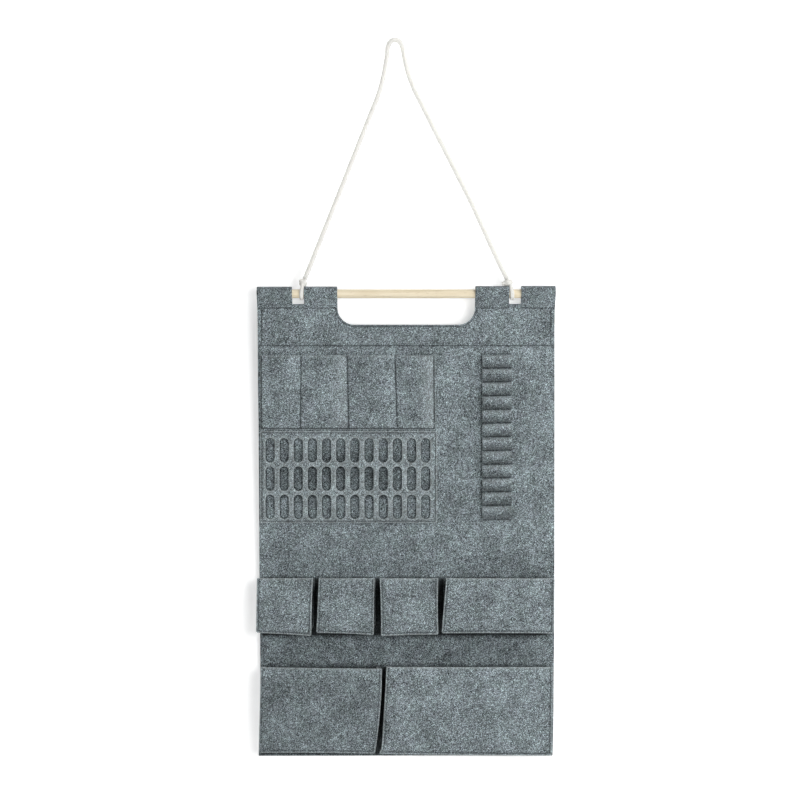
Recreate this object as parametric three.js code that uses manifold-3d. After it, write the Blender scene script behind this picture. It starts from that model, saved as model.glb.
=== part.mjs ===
import * as THREE from 'three';
import { mergeVertices } from 'three/addons/utils/BufferGeometryUtils.js';
import Module from 'manifold-3d';

// Wall hanging organizer of grey felt, hung from a dowel on a cotton cord.
// Millimetres, +Z up, +X to the viewer's right; the front faces -Y.
// The origin is the place under the top of the cord where a nail bears.

// Felt, and the gap that stands for a sewn or tight joint
const felt = 3;
const loopFelt = 2.5;
const sewnGap = 0.3;

// Dowel and the tunnels that it lies in
const dowelRadius = 7.5;
const dowelEndInset = 4;
const dowelChamfer = 1;
const dowelClearance = 0.35;
const tunnelSeamDrop = 24;
const roundSides = 32;

// Back panel: one sheet, folded to the rear over the dowel. Every drop is down from the dowel's axis.
const panelWidth = 500;
const panelDrop = 778;
const facingDrop = 90;
const outerTabWidth = 57;
const innerTabWidth = 57;
const notchWidth = 20;
const notchClearance = 4.85;
const handholdDrop = 53;
const handholdRadius = 26;

// Hanging cord
const cordDiameter = 8;
const cordSides = 10;
const dowelDrop = 424;
const nailFromPanelLeft = 231;
const cordLoopThickness = 5;
const cordLoopGap = 0.6;
const rightLoopGap = 2;
const knotWidth = 14.5;
const knotHeight = 13;
const knotDepth = 15;
const knotClearance = 1.3;
const leftKnotShift = 4;
const rightKnotShift = 5;
const neckSqueeze = 0.8;
const tailLength = 7;
const tailDrop = 2;

// Strip of four flat pockets
const stripLeft = 4;
const stripDrop = 104;
const stripHeight = 125;
const stripHem = 3;
const flatPocketWidths = [65, 81, 82, 61];
const stripBulge = 8;
const stripMouthShare = 0.55;

// Slotted panel, under the strip
const slottedLeft = 4;
const slottedGap = 1;
const slottedBulge = 6;
const slotWidth = 15.5;
const slotHeight = 41;
const slotPitchX = 24;
const slotPitchZ = 47;
const slotColumns = 12;
const slotRows = 3;
const slotSideMargin = 9.25;
const slotTopMargin = 15;
const slotBottomMargin = 6;

// Strip of tool loops
const loopStripRightMargin = 72.5;
const loopStripDrop = 100;
const loopStripWidth = 50;
const loopCount = 12;
const loopPitch = 23.1;
const loopSeam = 3;
const loopRise = 8;
const loopStripHem = 2.5;

// Box pockets: a front sheet sewn to a gusset that runs down, across and up
const pocketDepth = 40;
const pocketFlange = 5;
const pocketCorner = 3;
const pocketGap = 8.5;
const lowerRowMargin = 10;
const lowerRowHeight = 144;
const rowGap = 55;
const upperRowHeight = 93;
const upperRowLeft = 1;
const upperRowRightMargin = 3.5;
const smallPocketWidth = 95;
const smallPocketCount = 3;
const lowerRowLeft = 4;
const lowerRowRightMargin = 4.5;
const lowerLeftWidth = 203;
const lowerGapLean = 7;

// Colours
const feltMaterial = new THREE.MeshStandardMaterial({ color: 0x767e82, roughness: 0.95, metalness: 0 });
const woodMaterial = new THREE.MeshStandardMaterial({ color: 0xead9bc, roughness: 0.6, metalness: 0 });
const cordMaterial = new THREE.MeshStandardMaterial({ color: 0xf0efe8, roughness: 0.9, metalness: 0 });

const xAxis = new THREE.Vector3(1, 0, 0);
const yAxis = new THREE.Vector3(0, 1, 0);
const zAxis = new THREE.Vector3(0, 0, 1);

const wasm = await Module();
wasm.setup();

// A closed geometry as a solid that can be cut and joined
function toSolid(geometry) {
  const bare = geometry.clone();
  bare.deleteAttribute('normal');
  bare.deleteAttribute('uv');
  const merged = mergeVertices(bare, 1e-3);
  const mesh = new wasm.Mesh({
    numProp: 3,
    vertProperties: merged.attributes.position.array,
    triVerts: new Uint32Array(merged.index.array),
  });
  return new wasm.Manifold(mesh);
}

function toGeometry(solid) {
  const mesh = solid.getMesh();
  const geometry = new THREE.BufferGeometry();
  geometry.setAttribute('position', new THREE.BufferAttribute(mesh.vertProperties, 3));
  geometry.setIndex(new THREE.BufferAttribute(mesh.triVerts, 1));
  geometry.computeVertexNormals();
  return geometry;
}

// A shape drawn in (y, z), extruded along +X from x
function extrudeAlongX(shape, x, length, curveSegments = 8) {
  const geometry = new THREE.ExtrudeGeometry(shape, { depth: length, bevelEnabled: false, curveSegments });
  geometry.applyMatrix4(new THREE.Matrix4().makeBasis(yAxis, zAxis, xAxis));
  geometry.translate(x, 0, 0);
  return geometry;
}

// A shape drawn in (x, z), extruded to the front, along -Y, from y
function extrudeToFront(shape, y, depth, curveSegments = 8) {
  const geometry = new THREE.ExtrudeGeometry(shape, { depth, bevelEnabled: false, curveSegments });
  geometry.applyMatrix4(new THREE.Matrix4().makeBasis(xAxis, zAxis, yAxis.clone().negate()));
  geometry.translate(0, y, 0);
  return geometry;
}

function boxBetween(low, high) {
  const size = high.clone().sub(low);
  const geometry = new THREE.BoxGeometry(size.x, size.y, size.z);
  geometry.translate(low.x + size.x / 2, low.y + size.y / 2, low.z + size.z / 2);
  return geometry;
}

function addMesh(parent, name, geometry, material) {
  const mesh = new THREE.Mesh(geometry, material);
  mesh.name = name;
  parent.add(mesh);
}

// Back panel. Its section is a teardrop round the dowel, two layers down to the facing's edge,
// and one layer below that.
const tunnelRadius = dowelRadius + dowelClearance;
const tabRadius = tunnelRadius + felt;
const seamReach = Math.hypot(felt, tunnelSeamDrop);
const wallAngle = Math.acos(tabRadius / seamReach) - Math.atan2(tunnelSeamDrop, felt);

function panelSection() {
  const section = new THREE.Shape();
  section.moveTo(0, -panelDrop);
  section.lineTo(0, -facingDrop);
  section.lineTo(felt, -facingDrop);
  section.lineTo(felt, -tunnelSeamDrop);
  section.absarc(0, 0, tabRadius, wallAngle, Math.PI - wallAngle, false);
  section.lineTo(-felt, -tunnelSeamDrop);
  section.lineTo(-felt, -panelDrop);
  const tunnel = new THREE.Path();
  tunnel.absarc(0, 0, tunnelRadius, wallAngle, Math.PI - wallAngle, false);
  tunnel.lineTo(0, tunnelRadius / Math.sin(wallAngle));
  section.holes.push(tunnel);
  return section;
}

function handholdShape(left, right, top, bottom) {
  const centreZ = bottom + handholdRadius;
  const shape = new THREE.Shape();
  shape.moveTo(left, top);
  shape.lineTo(left, centreZ);
  shape.absarc(left + handholdRadius, centreZ, handholdRadius, Math.PI, 1.5 * Math.PI, false);
  shape.absarc(right - handholdRadius, centreZ, handholdRadius, 1.5 * Math.PI, 0, false);
  shape.lineTo(right, top);
  return shape;
}

const cordLoopRadius = tunnelRadius + cordLoopThickness;
const notchDrop = cordLoopRadius + notchClearance;
const leftNotch = outerTabWidth;
const rightNotch = panelWidth - outerTabWidth - notchWidth;
const handholdLeft = outerTabWidth + notchWidth + innerTabWidth;
const handholdRight = panelWidth - handholdLeft;

function backPanel() {
  const beyond = tabRadius + felt;
  const tunnelSegments = 20;
  let panel = toSolid(extrudeAlongX(panelSection(), 0, panelWidth, tunnelSegments));
  for (const left of [leftNotch, rightNotch]) {
    const low = new THREE.Vector3(left, -beyond, -notchDrop);
    const high = new THREE.Vector3(left + notchWidth, beyond, beyond);
    panel = panel.subtract(toSolid(boxBetween(low, high)));
  }
  const handhold = handholdShape(handholdLeft, handholdRight, beyond, -handholdDrop);
  panel = panel.subtract(toSolid(extrudeToFront(handhold, beyond, 2 * beyond)));
  return toGeometry(panel);
}

// Dowel with a small chamfer at each end, its ends just inside the outer tabs
function dowel() {
  const halfLength = panelWidth / 2 - dowelEndInset;
  const profile = [
    new THREE.Vector2(0, -halfLength),
    new THREE.Vector2(dowelRadius - dowelChamfer, -halfLength),
    new THREE.Vector2(dowelRadius, -halfLength + dowelChamfer),
    new THREE.Vector2(dowelRadius, halfLength - dowelChamfer),
    new THREE.Vector2(dowelRadius - dowelChamfer, halfLength),
    new THREE.Vector2(0, halfLength),
  ];
  const geometry = new THREE.LatheGeometry(profile, roundSides);
  geometry.rotateZ(-Math.PI / 2);
  geometry.translate(panelWidth / 2, 0, 0);
  return geometry;
}

// Cord. The free stretch runs from knot to knot over the nail; the points are its centreline in x and z.
const cordPoints = [
  [-152, -398.9], [-139, -367], [-123, -327], [-96, -259.5], [-70, -194], [-44.5, -130],
  [-26.5, -84], [-17, -45], [-13.5, -22], [-11.6, -7], [-6.8, 1.6], [0, 4], [6.8, 1.6], [11.8, -6.5],
  [15, -22], [19.2, -42], [30.5, -75.5], [48, -111], [73, -161], [100, -214], [128, -269.5], [158, -335],
  [174.5, -370.5], [188.9, -399.6],
];

// The steps follow the points, so the tight turn over the nail gets more of them
class CordLine extends THREE.CatmullRomCurve3 {
  getUtoTmapping(u) {
    return u;
  }
}

function ringShape(radiusX, radiusY, sides) {
  const shape = new THREE.Shape();
  for (let side = 0; side < sides; side += 1) {
    const angle = (2 * Math.PI * side) / sides;
    const x = radiusX * Math.cos(angle);
    const y = radiusY * Math.sin(angle);
    if (side === 0) shape.moveTo(x, y);
    else shape.lineTo(x, y);
  }
  return shape;
}

function hangingCord() {
  const points = cordPoints.map(([x, z]) => new THREE.Vector3(x, 0, z));
  const line = new CordLine(points, false, 'centripetal');
  const steps = 3 * (points.length - 1);
  const section = ringShape(cordDiameter / 2, cordDiameter / 2, cordSides);
  return new THREE.ExtrudeGeometry(section, { steps, extrudePath: line });
}

// One turn of the cord round the dowel, pressed flat against it, at x
function cordLoop(x) {
  const middle = cordLoopRadius - cordLoopThickness / 2;
  const profile = [];
  for (let side = 0; side <= cordSides; side += 1) {
    const angle = (2 * Math.PI * side) / cordSides;
    const radius = middle + (cordLoopThickness / 2) * Math.cos(angle);
    profile.push(new THREE.Vector2(radius, (cordDiameter / 2) * Math.sin(angle)));
  }
  const geometry = new THREE.LatheGeometry(profile, roundSides);
  geometry.rotateZ(-Math.PI / 2);
  geometry.translate(x, 0, 0);
  return toSolid(geometry);
}

function knot(x, z) {
  const geometry = new THREE.SphereGeometry(0.5, 14, 10);
  geometry.scale(knotWidth, knotDepth, knotHeight);
  geometry.translate(x, 0, z);
  return toSolid(geometry);
}

// A straight length of cord between two places in the (x, z) plane, narrower than the cord by squeeze
function cordStub(start, end, squeeze) {
  const from = new THREE.Vector3(start.x, 0, start.y);
  const to = new THREE.Vector3(end.x, 0, end.y);
  const line = new THREE.LineCurve3(from, to);
  const section = ringShape(cordDiameter / 2 - squeeze, cordDiameter / 2 - squeeze, cordSides);
  return toSolid(new THREE.ExtrudeGeometry(section, { steps: 1, extrudePath: line }));
}

const leftLoopX = leftNotch + notchWidth - cordLoopGap - cordDiameter / 2;
const rightLoopX = rightNotch + rightLoopGap + cordDiameter / 2;
const loopTopZ = cordLoopRadius - cordLoopThickness / 2;
const knotZ = tabRadius + knotClearance + knotHeight / 2;

// A hitch is a loop round the dowel, the cord up from it and the knot over it
function hitch(loopX, knotX) {
  const neck = cordStub(new THREE.Vector2(loopX, loopTopZ), new THREE.Vector2(knotX, knotZ), neckSqueeze);
  return cordLoop(loopX).add(neck).add(knot(knotX, knotZ));
}

function leftHitch() {
  return toGeometry(hitch(leftLoopX, leftLoopX + leftKnotShift));
}

// The short cut end stands out of the right knot, to the left and a little down
function rightHitch() {
  const knotX = rightLoopX - rightKnotShift;
  const start = new THREE.Vector2(knotX, knotZ);
  const end = new THREE.Vector2(knotX - knotWidth / 2 - tailLength, knotZ - tailDrop);
  return toGeometry(hitch(rightLoopX, knotX).add(cordStub(start, end, neckSqueeze)));
}

function evenPlaces(start, end, count) {
  return Array.from({ length: count + 1 }, (_, index) => THREE.MathUtils.lerp(start, end, index / count));
}

// A felt sheet over a grid of x and z places: rise gives how far its back stands off the panel
function risenSheet(xPlaces, zPlaces, thickness, rise) {
  const columns = xPlaces.length;
  const rows = zPlaces.length;
  const back = -felt - sewnGap;
  const positions = [];
  for (const layer of [0, thickness]) {
    for (const z of zPlaces) {
      for (const x of xPlaces) positions.push(x, back - rise(x, z) - layer, z);
    }
  }
  const corner = (layer, row, column) => (layer * rows + row) * columns + column;
  const faces = [];
  const addQuad = (a, b, c, d) => faces.push(a, b, c, a, c, d);
  for (let row = 0; row < rows - 1; row += 1) {
    for (let column = 0; column < columns - 1; column += 1) {
      const [rear, front] = [0, 1].map((layer) => [
        corner(layer, row, column),
        corner(layer, row, column + 1),
        corner(layer, row + 1, column + 1),
        corner(layer, row + 1, column),
      ]);
      addQuad(...rear);
      addQuad(...front.reverse());
    }
  }
  for (let column = 0; column < columns - 1; column += 1) {
    const next = column + 1;
    const last = rows - 1;
    addQuad(corner(0, 0, column), corner(1, 0, column), corner(1, 0, next), corner(0, 0, next));
    addQuad(corner(0, last, next), corner(1, last, next), corner(1, last, column), corner(0, last, column));
  }
  for (let row = 0; row < rows - 1; row += 1) {
    const last = columns - 1;
    addQuad(corner(0, row + 1, 0), corner(1, row + 1, 0), corner(1, row, 0), corner(0, row, 0));
    addQuad(corner(0, row, last), corner(1, row, last), corner(1, row + 1, last), corner(0, row + 1, last));
  }
  const geometry = new THREE.BufferGeometry();
  geometry.setAttribute('position', new THREE.Float32BufferAttribute(positions, 3));
  geometry.setIndex(faces);
  geometry.computeVertexNormals();
  return geometry;
}

// Four flat pockets: the strip bulges between its seams at the mouth, and is flat at its bottom edge
function flatPocketStrip() {
  const seams = [stripLeft + stripHem];
  for (const width of flatPocketWidths) seams.push(seams[seams.length - 1] + width);
  const columnsPerPocket = 8;
  const xPlaces = [stripLeft];
  for (let pocket = 0; pocket < seams.length - 1; pocket += 1) {
    for (let column = 0; column < columnsPerPocket; column += 1) {
      xPlaces.push(THREE.MathUtils.lerp(seams[pocket], seams[pocket + 1], column / columnsPerPocket));
    }
  }
  xPlaces.push(seams[seams.length - 1], seams[seams.length - 1] + stripHem);
  const rows = 10;
  const zPlaces = evenPlaces(-stripDrop, -stripDrop - stripHeight, rows);
  const rise = (x, z) => {
    const pocket = seams.findIndex((seam, index) => x >= seam && x < seams[index + 1]);
    if (pocket < 0) return 0;
    const across = (x - seams[pocket]) / (seams[pocket + 1] - seams[pocket]);
    const down = (-stripDrop - z) / stripHeight;
    const below = THREE.MathUtils.clamp((down - stripMouthShare) / (1 - stripMouthShare), 0, 1);
    return stripBulge * Math.sin(Math.PI * across) * Math.cos((Math.PI / 2) * below);
  };
  return risenSheet(xPlaces, zPlaces, felt, rise);
}

function slotShape(x, z) {
  const radius = slotWidth / 2;
  const straight = slotHeight / 2 - radius;
  const slot = new THREE.Shape();
  slot.absarc(x, z + straight, radius, 0, Math.PI, false);
  slot.absarc(x, z - straight, radius, Math.PI, 2 * Math.PI, false);
  return slot;
}

const slottedDrop = stripDrop + stripHeight + slottedGap;
const slottedWidth = (slotColumns - 1) * slotPitchX + slotWidth + 2 * slotSideMargin;
const slottedHeight = slotTopMargin + (slotRows - 1) * slotPitchZ + slotHeight + slotBottomMargin;

// Sheet with rows of upright slots; its middle stands a little off the back panel
function slottedPanel() {
  const gridColumns = 12;
  const gridRows = 6;
  const xPlaces = evenPlaces(slottedLeft, slottedLeft + slottedWidth, gridColumns);
  const zPlaces = evenPlaces(-slottedDrop, -slottedDrop - slottedHeight, gridRows);
  const rise = (x, z) => {
    const across = Math.sin((Math.PI * (x - slottedLeft)) / slottedWidth);
    const down = Math.sin((Math.PI * (-slottedDrop - z)) / slottedHeight);
    return slottedBulge * Math.sqrt(Math.max(0, across * down));
  };
  let sheet = toSolid(risenSheet(xPlaces, zPlaces, felt, rise));
  const cutDepth = sewnGap + slottedBulge + 2 * felt;
  const endSegments = 4;
  const firstX = slottedLeft + slotSideMargin + slotWidth / 2;
  const firstZ = -slottedDrop - slotTopMargin - slotHeight / 2;
  for (let row = 0; row < slotRows; row += 1) {
    for (let column = 0; column < slotColumns; column += 1) {
      const slot = slotShape(firstX + column * slotPitchX, firstZ - row * slotPitchZ);
      sheet = sheet.subtract(toSolid(extrudeToFront(slot, -felt, cutDepth, endSegments)));
    }
  }
  return toGeometry(sheet);
}

// Twelve loops in one band, sewn down between each pair; tools go through from the side
function toolLoopStrip() {
  const back = -felt - sewnGap;
  const left = panelWidth - loopStripRightMargin - loopStripWidth;
  const arcSteps = 8;
  const halfOuter = (loopPitch - loopSeam) / 2;
  const halfInner = halfOuter - loopFelt;
  const height = loopCount * loopPitch + 2 * loopStripHem;
  const outer = [new THREE.Vector2(back - loopFelt, -loopStripDrop)];
  const inner = [new THREE.Vector2(back, -loopStripDrop)];
  for (let loop = 0; loop < loopCount; loop += 1) {
    const middle = -loopStripDrop - loopStripHem - (loop + 0.5) * loopPitch;
    for (let step = 0; step <= arcSteps; step += 1) {
      const angle = (Math.PI * step) / arcSteps;
      const rise = loopRise * Math.sin(angle);
      outer.push(new THREE.Vector2(back - loopFelt - rise, middle + halfOuter * Math.cos(angle)));
      inner.push(new THREE.Vector2(back - rise, middle + halfInner * Math.cos(angle)));
    }
  }
  outer.push(new THREE.Vector2(back - loopFelt, -loopStripDrop - height));
  inner.push(new THREE.Vector2(back, -loopStripDrop - height));
  const section = new THREE.Shape([...outer, ...inner.reverse()]);
  return extrudeAlongX(section, left, loopStripWidth);
}

// The outline of a box pocket's front, drawn in by inset: from its top left corner down, across and up
function pocketOutline(pocket, inset) {
  const top = -pocket.drop;
  const bottom = top - pocket.height + inset;
  const left = pocket.bottomLeft + inset;
  const right = pocket.bottomRight - inset;
  const radius = Math.max(pocketCorner - inset, 1);
  const cornerSegments = 4;
  const outline = new THREE.Path();
  outline.moveTo(pocket.left + inset, top);
  outline.lineTo(left, bottom + radius);
  outline.quadraticCurveTo(left, bottom, left + radius, bottom);
  outline.lineTo(right - radius, bottom);
  outline.quadraticCurveTo(right, bottom, right, bottom + radius);
  outline.lineTo(pocket.right - inset, top);
  return outline.getPoints(cornerSegments);
}

const gussetBack = -felt - sewnGap;
const gussetFront = gussetBack - pocketDepth;

function pocketFront(pocket) {
  return extrudeToFront(new THREE.Shape(pocketOutline(pocket, 0)), gussetFront - sewnGap, felt);
}

// Gusset: a U-shaped wall with a flange turned outward at its back and its front, open at the top
function pocketGusset(pocket) {
  const inner = pocketOutline(pocket, pocketFlange + felt).reverse();
  const wall = new THREE.Shape([...pocketOutline(pocket, pocketFlange), ...inner]);
  const flange = new THREE.Shape([...pocketOutline(pocket, 0), ...inner]);
  const gusset = toSolid(extrudeToFront(wall, gussetBack, pocketDepth))
    .add(toSolid(extrudeToFront(flange, gussetBack, felt)))
    .add(toSolid(extrudeToFront(flange, gussetFront + felt, felt)));
  return toGeometry(gusset);
}

const lowerRowDrop = panelDrop - lowerRowMargin - lowerRowHeight;
const upperRowDrop = lowerRowDrop - rowGap - upperRowHeight;

// Small pockets and then a wide one that fills the upper row; two in the lower row, with a leaning gap
function boxPockets() {
  const pockets = [];
  const upper = { drop: upperRowDrop, height: upperRowHeight };
  for (let index = 0; index <= smallPocketCount; index += 1) {
    const left = upperRowLeft + index * (smallPocketWidth + pocketGap);
    const right = index < smallPocketCount ? left + smallPocketWidth : panelWidth - upperRowRightMargin;
    const edges = { left, right, bottomLeft: left, bottomRight: right };
    pockets.push({ name: `upper_pocket_${index + 1}`, ...edges, ...upper });
  }
  const lower = { drop: lowerRowDrop, height: lowerRowHeight };
  const gapLeft = lowerRowLeft + lowerLeftWidth;
  const gapRight = gapLeft + pocketGap;
  const right = panelWidth - lowerRowRightMargin;
  const leftTop = { left: lowerRowLeft, right: gapLeft };
  const leftBottom = { bottomLeft: lowerRowLeft, bottomRight: gapLeft - lowerGapLean };
  const rightTop = { left: gapRight, right };
  const rightBottom = { bottomLeft: gapRight - lowerGapLean, bottomRight: right };
  pockets.push({ name: 'lower_pocket_left', ...leftTop, ...leftBottom, ...lower });
  pockets.push({ name: 'lower_pocket_right', ...rightTop, ...rightBottom, ...lower });
  return pockets;
}

// The felt and the dowel are placed from the panel's left edge and the dowel's axis
const organizer = new THREE.Group();
organizer.position.set(-nailFromPanelLeft, 0, -dowelDrop);
addMesh(organizer, 'back_panel', backPanel(), feltMaterial);
addMesh(organizer, 'dowel', dowel(), woodMaterial);
addMesh(organizer, 'left_cord_hitch', leftHitch(), cordMaterial);
addMesh(organizer, 'right_cord_hitch', rightHitch(), cordMaterial);
addMesh(organizer, 'flat_pocket_strip', flatPocketStrip(), feltMaterial);
addMesh(organizer, 'slotted_panel', slottedPanel(), feltMaterial);
addMesh(organizer, 'tool_loop_strip', toolLoopStrip(), feltMaterial);
for (const pocket of boxPockets()) {
  addMesh(organizer, `${pocket.name}_gusset`, pocketGusset(pocket), feltMaterial);
  addMesh(organizer, `${pocket.name}_front`, pocketFront(pocket), feltMaterial);
}

const model = new THREE.Group();
addMesh(model, 'hanging_cord', hangingCord(), cordMaterial);
model.add(organizer);

export default model;
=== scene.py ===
"""Looks of a felt wall hanging organizer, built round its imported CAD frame.

Metres, +Z up, +X to the viewer's right, the front faces -Y and the wall is behind at +Y.
"""

from collections import namedtuple
import math

import bpy
import numpy as np
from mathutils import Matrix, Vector
from mathutils.geometry import delaunay_2d_cdt


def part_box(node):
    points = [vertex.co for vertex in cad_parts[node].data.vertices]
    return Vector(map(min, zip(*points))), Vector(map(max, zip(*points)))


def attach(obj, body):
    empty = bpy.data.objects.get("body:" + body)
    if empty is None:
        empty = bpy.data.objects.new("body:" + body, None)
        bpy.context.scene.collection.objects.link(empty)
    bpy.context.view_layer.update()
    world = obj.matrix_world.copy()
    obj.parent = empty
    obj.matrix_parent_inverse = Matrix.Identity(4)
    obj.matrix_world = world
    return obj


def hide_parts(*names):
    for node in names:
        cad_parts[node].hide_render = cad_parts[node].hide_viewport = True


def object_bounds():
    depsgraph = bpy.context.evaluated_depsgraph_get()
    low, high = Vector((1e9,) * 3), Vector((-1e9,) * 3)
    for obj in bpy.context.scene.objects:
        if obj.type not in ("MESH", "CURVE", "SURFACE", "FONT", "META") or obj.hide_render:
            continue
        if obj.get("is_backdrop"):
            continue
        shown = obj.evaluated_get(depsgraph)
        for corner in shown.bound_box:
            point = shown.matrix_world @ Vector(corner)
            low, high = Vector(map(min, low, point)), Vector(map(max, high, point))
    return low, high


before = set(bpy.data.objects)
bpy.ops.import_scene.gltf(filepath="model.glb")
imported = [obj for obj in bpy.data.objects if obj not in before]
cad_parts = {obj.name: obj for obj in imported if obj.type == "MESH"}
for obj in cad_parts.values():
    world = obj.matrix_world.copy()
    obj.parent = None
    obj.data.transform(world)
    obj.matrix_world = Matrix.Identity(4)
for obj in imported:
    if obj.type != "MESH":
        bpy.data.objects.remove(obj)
cad_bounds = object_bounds()

MM = 0.001

# Felt, and the points over a sheet: a grid point keeps clear of edges, seam rows and marks
FELT = 3 * MM
LOOP_FELT = 2.5 * MM
SEWN_GAP = 0.3 * MM
EDGE_ROUND = 0.7 * MM
EDGE_PROFILE = ((0, EDGE_ROUND), (0.3 * EDGE_ROUND, 0.3 * EDGE_ROUND))
CUT_CORNER = 1.2 * MM
GRID = 6 * MM
STRIP_GRID = 5 * MM
SLOTTED_GRID = 4.5 * MM
LOOP_GRID = 4 * MM
FINE_GRID = 1.6 * MM
GRID_ROW = 0.87
POINT_GAP = 0.0001 * MM
EDGE_STEP = 3 * MM
PANEL_EDGE_STEP = 4 * MM
NOTCH_EDGE_STEP = 1.7 * MM
EDGE_CLEARANCE = 0.45
SEAM_CLEARANCE = 0.8 * MM
MARK_CLEARANCE = 1.6 * MM
ROW_CLEARANCE = 0.4 * MM
# How far in from a cut edge the painted highlight fades
EDGE_HIGHLIGHT_WIDTH = 1.3 * MM
FAR = 14 * MM

# Thread
STITCH_PITCH = 4.2 * MM
STITCH_LENGTH = 3.3 * MM
STITCH_RISE = 0.45 * MM
STITCH_SINK = 0.15 * MM
STITCH_TAPER = (0.45, 0.9, 1, 0.9, 0.45)
THREAD_RADIUS = 0.38 * MM
THREAD_SIDES = 6
SEAM_DEPTH = 0.75 * MM
SEAM_WIDTH = 1.3 * MM
SEAM_STEP = 3.2 * MM
SEAM_ROWS = (-2.6 * MM, -1.2 * MM, 0.0, 1.2 * MM, 2.6 * MM)

# Places taken from the frame
panel_low, panel_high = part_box("back_panel")
dowel_low, dowel_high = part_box("dowel")
LEFT = panel_low.x
RIGHT = panel_high.x
BOTTOM = panel_low.z
AXIS_Z = (dowel_low.z + dowel_high.z) / 2
DOWEL_RADIUS = (dowel_high.z - dowel_low.z) / 2
TUNNEL_RADIUS = panel_high.y - FELT / 2

# Back panel, from its left edge and down from the dowel's axis
TUNNEL_SEAM = 24 * MM
FACING_DROP = 90 * MM
FACING_SEAM = 87.5 * MM
SIDE_SEAM = 6.6 * MM
SEAM_END = 2.5 * MM
NOTCHES = (59 * MM, 422.5 * MM)
NOTCH_WIDTH = 20 * MM
NOTCH_DROP = 17.7 * MM
NOTCH_CORNER = 1 * MM
HANDHOLD_LEFT = 134.6 * MM
HANDHOLD_RIGHT = 365.6 * MM
HANDHOLD_DROP = 52 * MM
HANDHOLD_RADIUS = 28 * MM
HANDHOLD_SEAM = 3.2 * MM
FOLD_DROP = 1.25 * TUNNEL_SEAM
FOLD_ROUNDING = 1.6 * MM

# Flat pockets
FLAT_POCKET_SEAMS = tuple(x * MM for x in (1.8, 68, 149, 231, 293.4))
FLAT_POCKET_LEANS = tuple(x * MM for x in (0, 0.8, -2.4, -4.2, -1.0))
FLAT_POCKET_HEM = 2.2 * MM
FLAT_POCKET_SEAM_END = 1.5 * MM
FLAT_POCKET_BULGE = 8 * MM
FLAT_POCKET_MOUTH = 0.55
FLAT_POCKET_SKEW = 1.5
# Painted highlight where each flat pocket turns in to its right seam, on the slope that faces the light: how
# strong in each pocket, where across it grows, where it stops and how fast it grows
FLAT_POCKET_HIGHLIGHT = (0.0, 0.28, 0.0, 0.5)
HIGHLIGHT_SPAN = (0.5, 0.95)
HIGHLIGHT_END = 0.97
HIGHLIGHT_POWER = 1.3

# Slotted sheet
SLOT_COLUMNS = 12
SLOT_ROWS = 3
SLOT_WIDTH = 15.5 * MM
SLOT_HEIGHT = 41 * MM
SLOT_PITCH_X = 23.8 * MM
SLOT_PITCH_Z = 47.5 * MM
SLOT_SIDE_MARGIN = 8.9 * MM
SLOT_TOP_MARGIN = 13.2 * MM
SLOTTED_TOP_GAP = 1.2 * MM
SLOTTED_BULGE = 7.5 * MM
HEM_SEAM = 3 * MM
HEM_CORNER = 1 * MM

# Tool loops
LOOP_COUNT = 12
LOOP_PITCH = 23.1 * MM
LOOP_SEAM = 3 * MM
LOOP_RISE = 8.8 * MM
LOOP_FULLNESS = 0.72
LOOP_STEPS = 16
LOOP_ROUNDING = 1.4 * MM
LOOP_HEM = 2.5 * MM
LOOP_END_SEAM = 0.6 * LOOP_HEM
LOOP_ROW = 1.5 * MM
LOOP_SLANT = 1.2 * MM
LOOP_WAVE = 0.6 * MM
LOOP_WAVE_RUN = 40
# Painted shade over the lower part of each loop and a painted highlight near its top, as light from above
# falls on them: how dark and over which share of the loop, how strong, where and how far
LOOP_UNDERSIDE_SHADE = 0.36
LOOP_UNDERSIDE_SHADE_SPAN = (0.42, 0.72)
LOOP_CROWN_HIGHLIGHT = 0.35
LOOP_CROWN_HIGHLIGHT_AT = 0.26
LOOP_CROWN_HIGHLIGHT_REACH = 0.24

# Box pockets
POCKET_CORNER = 3 * MM
POCKET_FLANGE = 5 * MM
POCKET_SEAM = 3.6 * MM
POCKET_FOOT_CUT = 0.3 * MM
POCKET_BULGE = 2.2 * MM
POCKET_BELLY_START = 0.12
POCKET_BELLY_SPAN = 0.82
POCKET_BELLY_ACROSS = 0.7
POCKET_BELLY_UPRIGHT = 0.8
POCKET_WAVE = 0.5 * MM
POCKET_WAVE_U = 14
POCKET_WAVE_V = 9
GUSSET_BEND = 7 * MM
GUSSET_CUT = 3.6 * MM
GUSSET_CURL = 2.6 * MM
GUSSET_SWELL = 0.8 * MM
GUSSET_SLACK = 0.7 * MM
GUSSET_SLACK_END = 8 * MM
GUSSET_SLACK_WAVE = 55
GUSSET_SLACK_SHIFT = 31
# How fast the painted highlight on the flanges' edges fades inward
GUSSET_HIGHLIGHT_FADE = 1.2
GUSSET_THICKNESS = 0.98 * FELT
# Painted shade deep in the channel, darkest against the panel, and how it fades towards the front
GUSSET_SHADE = 0.6
GUSSET_SHADE_POWER = 1.5

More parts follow.
